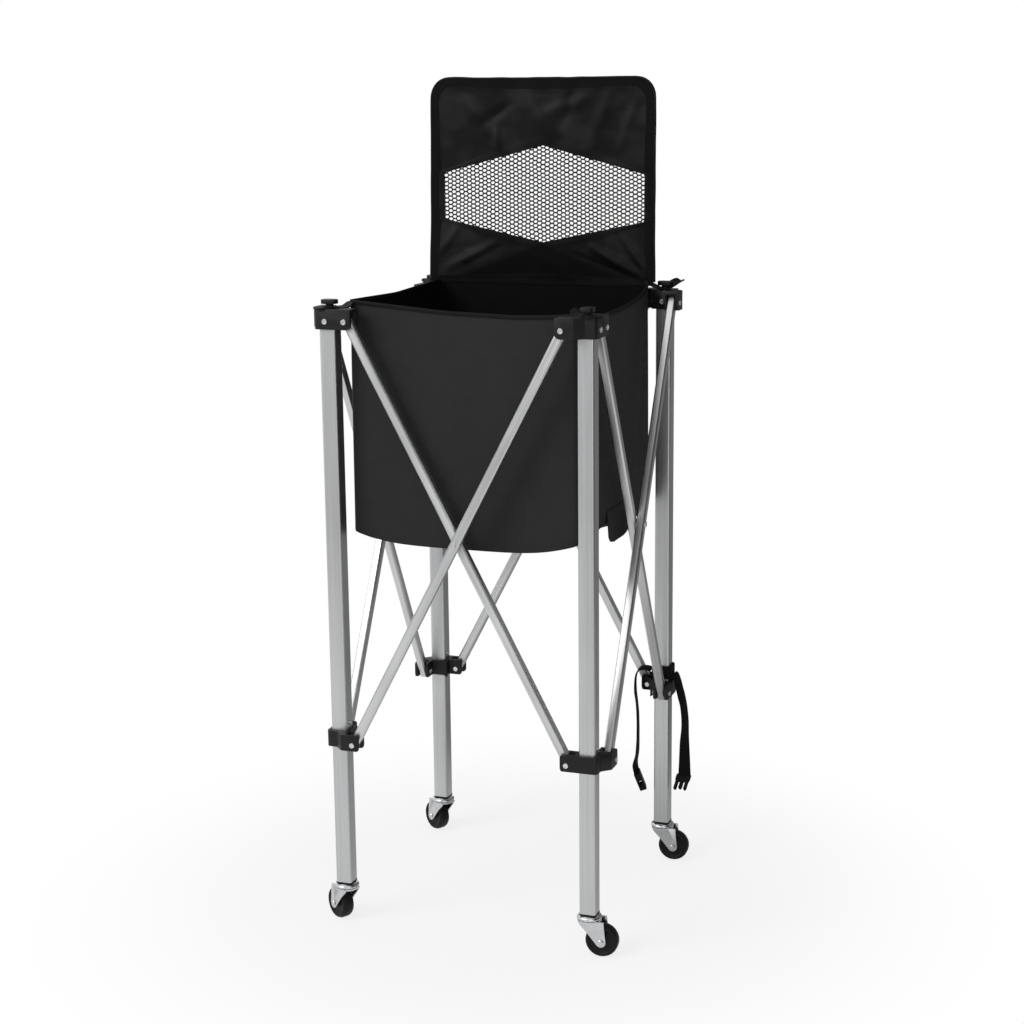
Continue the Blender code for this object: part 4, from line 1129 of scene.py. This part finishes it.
# Each tail from the leg's axis and the band's lower edge in millimetres, with its turn in degrees
tails = {
    "left": (
        (-12.9, -4, 9, 0), (-19.0, -4, 10.5, -2), (-26.0, -4, 9.5, -5), (-31.0, -4, 4, -8),
        (-32.8, -5, -5, -10), (-32.8, -5, -19, -11), (-31.0, -5, -33, -11), (-29.8, -5, -49, -10),
        (-29.5, -5, -67, -8), (-29.7, -5, -82, -6), (-30.5, -5, -97, -3), (-33.0, -5, -110, 2),
        (-31.0, -5, -121, 2),
    ),
    "right": (
        (12.9, 1, 5, 0), (15.6, 1, 2, 5), (18.6, 1, -9, 10), (21.8, 1, -21, 11),
        (25.0, 1, -35, 10), (26.8, 1, -55, 11), (26.2, 1, -77, 22), (26.4, 1, -99, 30),
        (26.5, 1, -121, 42),
    ),
}
# Each buckle half hangs askew on its tail: swung aside and turned, in degrees, and wider or
# thinner than its solid
buckles = {
    "left": {"half": "socket", "bevel": 2 * mm, "askew": (10, 18, 1.1)},
    "right": {"half": "prongs", "bevel": 0.8 * mm, "askew": (-12, 0, 0.92)},
}


def webbingMesh(path, turns, width, closed=False):
    # A flat band with rounded edges swept along a path. It stands upright where it is closed,
    # and else its width is turned away from Y
    section = []
    radius = strap["thickness"] / 2
    for side in (1, -1):
        for step in range(5):
            turn = math.radians(90 - 45 * step)
            edge = width / 2 - radius + radius * math.cos(turn)
            section.append((side * edge, side * radius * math.sin(turn)))
    rows = []
    for place, turned, ahead in zip(path, turns, waysAhead(path, closed)):
        angle = math.radians(turned)
        wide = Vector((0, 0, 1)) if closed else Vector((math.sin(angle), math.cos(angle), 0))
        wide = (wide - ahead * wide.dot(ahead)).normalized()
        deep = ahead.cross(wide)
        rows.append([place + wide * across + deep * out for across, out in section])
    flat = [(across, run) for run in runAlong(path) for across, _ in section]
    return sweptMesh(rows, closed, flat)


def smoothRoute(route, steps):
    # A curve through the route's points
    result = []
    for index in range(len(route) - 1):
        near = [min(max(index + step, 0), len(route) - 1) for step in (-1, 0, 1, 2)]
        before, start, end, after = (Vector(route[place]) for place in near)
        for step in range(steps):
            t = step / steps
            result.append(0.5 * (
                2 * start + (end - before) * t
                + (2 * before - 5 * start + 4 * end - after) * t**2
                + (3 * start - before - 3 * end + after) * t**3
            ))
    return result + [Vector(route[-1])]


def makeBand(middle):
    half, radius = strap["bandHalf"], strap["bandRadius"]
    height = strap["bandHeight"] + strap["bandWidth"] / 2
    path = []
    for quarter in range(4):
        corner = Vector((half - radius, half - radius))
        centre = Matrix.Rotation(math.radians(90 * quarter), 2) @ corner
        for step in range(7):
            turn = math.radians(90 * quarter + 15 * step)
            x, y = centre.x + radius * math.cos(turn), centre.y + radius * math.sin(turn)
            waver = strap["bandWaver"] * wave(len(path) * 0.3)
            path.append(middle + Vector((x, y, height + waver)))
    width = strap["bandWidth"] - strap["bandInside"]
    mesh = webbingMesh(path, [0] * len(path), width, closed=True)
    node = "strap_band"
    band = piece("strap_turn", mesh, "webbing", bodyOf[node], [node], 60)


def makeBuckle(buckle):
    node = "strap_buckle_" + buckle["half"]
    mesh = cadCopy(node, buckle["bevel"], 4)
    low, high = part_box(node)
    top = Vector(((low.x + high.x) / 2, (low.y + high.y) / 2, high.z))
    aside, turned, wide = buckle["askew"]
    swing = Matrix.Rotation(math.radians(aside), 4, strap["buckleAxis"])
    swing = swing @ Matrix.Rotation(math.radians(turned), 4, "Z")
    swing = Matrix.Translation(top + Vector((0, 0, strap["buckleUp"]))) @ swing
    sizes = Matrix.Diagonal((wide, strap["buckleDepth"], 1, 1))
    mesh.transform(swing @ sizes @ Matrix.Translation(-top))
    name = f"strap_{buckle['half']}_shell"
    return piece(name, mesh, "buckle", bodyOf[node], [node])


def makeStrap():
    middle = cornerFrame(2).translation
    makeBand(middle)
    base = middle + Vector((0, 0, strap["bandHeight"]))
    for side, buckle in buckles.items():
        route = smoothRoute(tails[side], strap["tailSteps"])
        path = [base + Vector(point[:3]) * mm for point in route]
        wavers = [strap["tailWaver"] * wave(index * 0.21, 4) for index in range(len(route))]
        turns = [point[3] + waver for point, waver in zip(route, wavers)]
        mesh = webbingMesh(path, turns, strap["width"] - strap["tailInside"])
        name, node = f"strap_{side}_webbing", f"strap_tail_{side}"
        tail = piece(name, mesh, "webbing", bodyOf[node], [node], 60)
        shell = makeBuckle(buckle)
        runAlong(path)[-1]


makeStrap()
print("strap: band, two tails and the buckle's halves")


# Lid: an upright flap with a hexagonal net window

lid = {
    "hinge": (0, 0.1269, 0.691),
    "lean": 2,  # degrees back from upright
    "halfWidth": 131.8 * mm,
    "length": 226.5 * mm,
    "taper": 2 * mm,
    "cornerRadius": 20 * mm,
    "windowHalf": 121 * mm,
    "lowTip": 45 * mm,
    "lowCorner": 70 * mm,
    "highCorner": 122.5 * mm,
    "highTip": 154 * mm,
    "thickness": 1.3 * mm,
    "fold": 0.45 * mm,  # more where the cloth is double
    "around": 360,  # points in each ring of the cloth
    "edgePoints": 240,  # along the seams and the piping
    "rings": 30,
    "borderRings": 3,
    "hemRings": 4,
    "hem": 10.5 * mm,
    "border": 7 * mm,
    "creasing": 1.5,
    "rumple": (1.5 * mm, 0.6 * mm),
    "bow": 1.6 * mm,  # of the foot
    "bowHeight": 38 * mm,
    "seat": 6 * mm,  # where the cloth comes back to its hinge
    "footDrop": 1.5 * mm,
    "leftWider": 5 * mm,
    "sideWaver": 0.8 * mm,
    "topWaver": (0.9 * mm, 0.5 * mm),
    "topLift": 1.0 * mm,
    "topFrom": 0.19,  # up the lid, from where its waver grows
    "topFade": 0.03,
    "piping": 1.7 * mm,
    "pipingOut": 1.2 * mm,
    "pipingFoot": 1.5 * mm,
    "netUnder": (4 * mm, 5 * mm),  # how far the cloth laps it, at its sides and its slopes
    "netBehind": 1.5 * mm,
    "netWaver": 0.8 * mm,
    "netAskew": (0.016, 0.031),
}
lidFrame = Matrix.Translation(lid["hinge"]) @ Matrix.Rotation(math.radians(-lid["lean"]), 4, "X")

# Creases in the lid: where each starts and ends, its half width and its height towards the front
creases = (
    (-56, 172, -55, 150, 3.0, 2.2),
    (-95, 205, -60, 168, 7.0, 1.6),
    (-20, 215, 6, 165, 8.0, 1.5),
    (40, 222, 22, 178, 7.0, -1.4),
    (80, 210, 60, 160, 8.0, 1.5),
    (110, 205, 92, 150, 5.0, 1.3),
    (60, 40, 122, 6, 5.0, 1.8),
    (30, 34, 118, 4, 4.0, -1.4),
    (90, 60, 126, 12, 4.0, 1.6),
    (-60, 42, -122, 10, 5.0, 1.5),
    (-20, 38, 30, 10, 7.0, 1.3),
    (-100, 66, -126, 30, 4.0, 1.2),
    (-40, 200, -75, 176, 5.0, -1.5),
    (0, 190, 50, 205, 6.0, 1.4),
)


def lidRelief(x, z):
    # How far the lid's cloth stands forward of its flat, in metres
    forward = 0.0
    for startX, startZ, endX, endZ, width, height in creases:
        start, end = Vector((startX, startZ)) * mm, Vector((endX, endZ)) * mm
        spot = Vector((x, z))
        line = end - start
        share = min(max((spot - start).dot(line) / line.length_squared, 0), 1)
        away = (spot - start - line * share).length / (width * mm)
        fade = math.sin(math.pi * (0.15 + 0.7 * share))
        forward += lid["creasing"] * height * mm * fade * bell(away)
    spot = Vector((x * 14, z * 14, 0.4))
    broad, fine = lid["rumple"]
    forward += broad * noise.noise(spot) + fine * noise.noise(spot * 2.7)
    # The foot bows forward in an arc before it goes back to the hinge
    arc = math.sin(math.pi * min(1, max(0, z / lid["bowHeight"])))
    forward += lid["bow"] * (arc * (1 - (x / lid["halfWidth"]) ** 2))
    return forward * ease(z / lid["seat"])


def lidPlace(x, z, back=0.0):
    return lidFrame @ Vector((x, back - lidRelief(x, z), z))


def cross(first, second):
    return first.x * second.y - first.y * second.x


def spacedLoop(loop, count):
    # A closed outline as evenly turned points, by angle round the window's middle
    centre = Vector((0, (lid["lowTip"] + lid["highTip"]) / 2))
    points = [Vector(point) for point in loop]
    result = []
    for index in range(count):
        turn = math.tau * index / count
        ahead = Vector((math.cos(turn), math.sin(turn)))
        reaches = []
        for first, second in zip(points, points[1:] + points[:1]):
            line, start = second - first, first - centre
            slant = cross(ahead, line)
            if abs(slant) > 1e-12 and -1e-9 <= cross(start, ahead) / slant <= 1 + 1e-9:
                reaches.append(cross(start, line) / slant)
        result.append(centre + ahead * max(reaches))
    return result


def windowEdge(grow, count):
    # The hexagon's outline from the middle of its right side, turning up
    side, low, high = lid["windowHalf"] + grow, lid["lowCorner"] - grow, lid["highCorner"] + grow
    middle = (lid["lowCorner"] + lid["highCorner"]) / 2
    tips = [
        (side, middle), (side, high), (0, lid["highTip"] + grow), (-side, high),
        (-side, low), (0, lid["lowTip"] - grow), (side, low),
    ]
    return spacedLoop(tips, count)


def lidOutline(grow, count):
    # The lid's outline from the middle of its right side, turning up
    radius, half = lid["cornerRadius"], lid["halfWidth"]
    inX, inZ, reach = half - lid["taper"] - radius, lid["length"] - radius, radius + grow
    turns = [math.radians(90 * step / 8) for step in range(9)]
    arc = [(inX + reach * math.cos(turn), inZ + reach * math.sin(turn)) for turn in turns]
    low, side = -lid["footDrop"], half + grow
    middle = (lid["lowCorner"] + lid["highCorner"]) / 2
    right = side - lid["taper"] * middle / lid["length"]
    loop = [(right, middle)] + arc + [(-x, z) for x, z in reversed(arc)]
    result = spacedLoop(loop + [(-right, middle), (-side, low), (side, low)], count)
    broad, fine = lid["topWaver"]
    for spot in result:
        wider = lid["leftWider"] * ease(-spot.x / (0.9 * half))
        waver = broad * wave(spot.x * 22, 2.0) + fine * wave(spot.x * 60, 6.0)
        sides = lid["sideWaver"] * wave(spot.y * 26, 9.0) * ease(abs(spot.x) / (0.8 * half))
        spot.x -= wider - sides * math.copysign(1, spot.x)
        spot.y += (waver + lid["topLift"]) * ease((spot.y - lid["topFrom"]) / lid["topFade"])
    return result


def flapMesh():
    # Rings of cloth between the window and the lid's edge, folded double beside both
    count, rings = lid["around"], lid["rings"]
    points, flat = [], []
    lastBorder, firstHem = lid["borderRings"], rings - lid["hemRings"]
    inner, outer = windowEdge(0, count), lidOutline(0, count)
    for ring in range(rings + 1):
        for start, end in zip(inner, outer):
            width = (end - start).length
            border, hem = min(lid["border"], width * 0.4), min(lid["hem"], width * 0.55)
            if ring <= lastBorder:
                away = border * ring / lastBorder
            elif ring >= firstHem:
                away = width - hem * (rings - ring) / lid["hemRings"]
            else:
                part = (ring - lastBorder) / (firstHem - lastBorder)
                away = border + (width - border - hem) * (part * 0.96 + 0.02)
            x, z = start.lerp(end, away / width)
            double = ring <= lastBorder or ring >= firstHem
            points.append(lidPlace(x, z, -lid["fold"] * double))
            flat.append((x, z))
    mesh = plainMesh(points, turnedOver(gridPolygons(count, rings + 1, closed=True)), flat=flat)
    for polygon in mesh.polygons:
        polygon.material_index = int(polygon.index // count >= firstHem)
    for key in ("lid", "hem"):
        mesh.materials.append(finishes[key].material)
    return modified(mesh, "SOLIDIFY", thickness=lid["thickness"], offset=1.0)


def netMesh():
    # The net hangs behind the window and follows the cloth, sewn in a little askew
    wide, tall = lid["netUnder"]
    mesh = net.run(
        plainMesh([(0, 0, 0)]), "net", Half_Width=lid["windowHalf"] + wide,
        Low_Tip=lid["lowTip"] - tall, Low_Corner=lid["lowCorner"] - tall,
        High_Corner=lid["highCorner"] + tall, High_Tip=lid["highTip"] + tall,
    )
    waver, (aside, up) = lid["netWaver"], lid["netAskew"]
    for vertex in mesh.vertices:
        x, z, deep = vertex.co
        pulled = waver * wave(x * 60, z * 60) - aside * (z - 0.1)
        slipped = waver * wave(z * 70, x * 50 + 8) + up * x
        vertex.co = lidPlace(x + pulled, z + slipped, lid["netBehind"] + deep)
    return mesh


def pipingMesh():
    # A round cord along the lid's three free sides
    outline = lidOutline(lid["pipingOut"], lid["edgePoints"])
    path = [lidPlace(x, z) for x, z in outline if z > lid["pipingFoot"]]
    start = max(range(len(path)), key=lambda i: (path[i] - path[i - 1]).length)
    path = path[start:] + path[:start]
    sides, radius = 10, lid["piping"]
    turns = [math.tau * side / sides for side in range(sides)]
    rows, wide = [], None
    for place, ahead in zip(path, waysAhead(path)):
        if wide is None:
            wide = ahead.orthogonal().normalized()
        wide = (wide - ahead * wide.dot(ahead)).normalized()
        deep = ahead.cross(wide)
        rows.append([
            place + wide * radius * math.cos(turn) + deep * radius * math.sin(turn)
            for turn in turns
        ])
    return sweptMesh(rows)


def makeLid():
    body = "lid"
    flap = piece("lid_cloth", flapMesh(), "lid", body, ["lid_panel"], 50, "hem")
    netPiece = piece("lid_net_mesh", netMesh(), "net", body, ["lid_net"])
    piping = piece("lid_edge_piping", pipingMesh(), "binding", body, ["lid_piping"], 60)
    lines = (
        (lidOutline, -2 * mm, 0.6 * mm), (lidOutline, -lid["hem"], 0.55 * mm),
        (windowEdge, 1.8 * mm, 0.6 * mm), (windowEdge, 5.6 * mm, 0.6 * mm),
    )
    paths = [
        [lidPlace(x, z, -out) for x, z in edge(grow, lid["edgePoints"])]
        for edge, grow, out in lines
    ]
    seams = stitched("lid_seams", paths, body)
    along = [netPiece, piping, seams]
    gathered([flap] + along)


makeLid()
print("lid: cloth, net, piping and stitches")


# Stage, lights and camera

studio = {
    "halfFloor": 12.0,
    "floorTone": 0.86,
    "fade": {"From Min": 0.2, "From Max": 0.6, "To Min": 0.8, "To Max": 1.0},  # of its shading
    "skyLight": 0.44,
    "skySeen": 1.0,
    "lamps": {
        "key_light": ((-1.6, -2.2, 2.4), (0, 0, 0.5), 1.6, 52),
        "fill_light": ((1.8, -2.4, 1.2), (0, 0, 0.4), 1.8, 5),
    },
}
# Dark cards that only reflections see, so that the metal's turned faces read darker: how bright
# each is and two of its opposite corners
cards = {
    "card_floor": (0.5, (-0.1, -0.08, 0.001), (0.6, 0.4, 0.001)),
    "card_back": (0.25, (-0.15, 0.4, 0.0), (1.6, 0.4, 2.4)),
    "card_front": (0.62, (-1.4, -1.6, 0.0), (0.6, -1.6, 1.0)),
    "card_right": (0.04, (1.25, -0.9, 0.0), (1.25, 0.75, 2.4)),
}


def stageSheet(name, low, high, finish):
    # A level or upright rectangle between two opposite corners
    first, second = [axis for axis in range(3) if low[axis] != high[axis]]
    spots = []
    for one, other in ((low, low), (high, low), (high, high), (low, high)):
        spot = list(low)
        spot[first], spot[second] = one[first], other[second]
        spots.append(spot)
    mesh = plainMesh(spots, [(0, 1, 2, 3)])
    mesh.materials.append(finish.material)
    made = linked(name, mesh)
    return made


def softLamp(name, place, aim, size, power):
    lamp = bpy.data.lights.new(name, "AREA")
    lamp.size = size
    lamp.energy = power
    made = linked(name, lamp)
    made.location = place
    made.rotation_euler = (Vector(aim) - Vector(place)).to_track_quat("-Z", "Y").to_euler()


def makeStage():
    floor = Finish("studio_floor", Roughness=0.9, Specular_IOR_Level=0.0)
    floor.paint(Base_Color=(*(studio["floorTone"],) * 3, 1))
    length, smooth = {"operation": "LENGTH"}, {"interpolation_type": "SMOOTHSTEP"}
    away = floor.node("ShaderNodeVectorMath", length, {0: floor.place("object")}, "Value")
    share = floor.node("ShaderNodeMapRange", smooth, {"Value": away, **studio["fade"]})
    glow = floor.node("ShaderNodeEmission", None, {"Color": (1, 1, 1, 1), "Strength": 1.0})
    mixed = {0: share * floor.seenRays(), 1: Wire(floor, floor.shader.outputs[0]), 2: glow}
    both = floor.node("ShaderNodeMixShader", None, mixed)
    floor.feed(floor.tree.nodes["Material Output"].inputs["Surface"], both)
    half = studio["halfFloor"]
    stageSheet("studio_floor", (-half, -half, 0), (half, half, 0), floor)

    scene.world = bpy.data.worlds.new("studio")
    scene.world.use_nodes = True
    sky = Board(scene.world.node_tree)
    background = sky.tree.nodes["Background"]
    sky.feed(background.inputs["Color"], (1, 1, 1, 1))
    light = studio["skyLight"]
    strength = sky.seenRays() * (studio["skySeen"] - light) + light
    sky.feed(background.inputs["Strength"], strength)

    for name, settings in studio["lamps"].items():
        softLamp(name, *settings)
    for name, (level, low, high) in cards.items():
        grey = Finish(name, Base_Color=(0, 0, 0, 1), Roughness=1.0, Specular_IOR_Level=0.0)
        grey.paint(Emission_Color=(level, level, level, 1), Emission_Strength=1.0)
        card = stageSheet(name, low, high, grey)
        card.visible_camera = card.visible_diffuse = False
        card.visible_transmission = card.visible_shadow = False


view = {
    "lens": 69.18, "shift": (-0.0547, -0.0049), "azimuth": 18.667, "elevation": 12.045,
    "roll": -0.295, "distance": 2.2128, "target": (0.0588, 0.0392, 0.4478),
}


def makeCamera():
    lens = bpy.data.cameras.new("camera")
    lens.sensor_width = 36
    lens.lens = view["lens"]
    lens.shift_x, lens.shift_y = view["shift"]
    scene.camera = linked("camera", lens)
    facing = Matrix.Translation(view["target"])
    turns = ((view["azimuth"], "Z"), (90 - view["elevation"], "X"), (view["roll"], "Z"))
    for degrees, axis in turns:
        facing = facing @ Matrix.Rotation(math.radians(degrees), 4, axis)
    scene.camera.matrix_world = facing @ Matrix.Translation((0, 0, view["distance"]))


makeStage()
makeCamera()
print("stage: floor, lamps and camera")
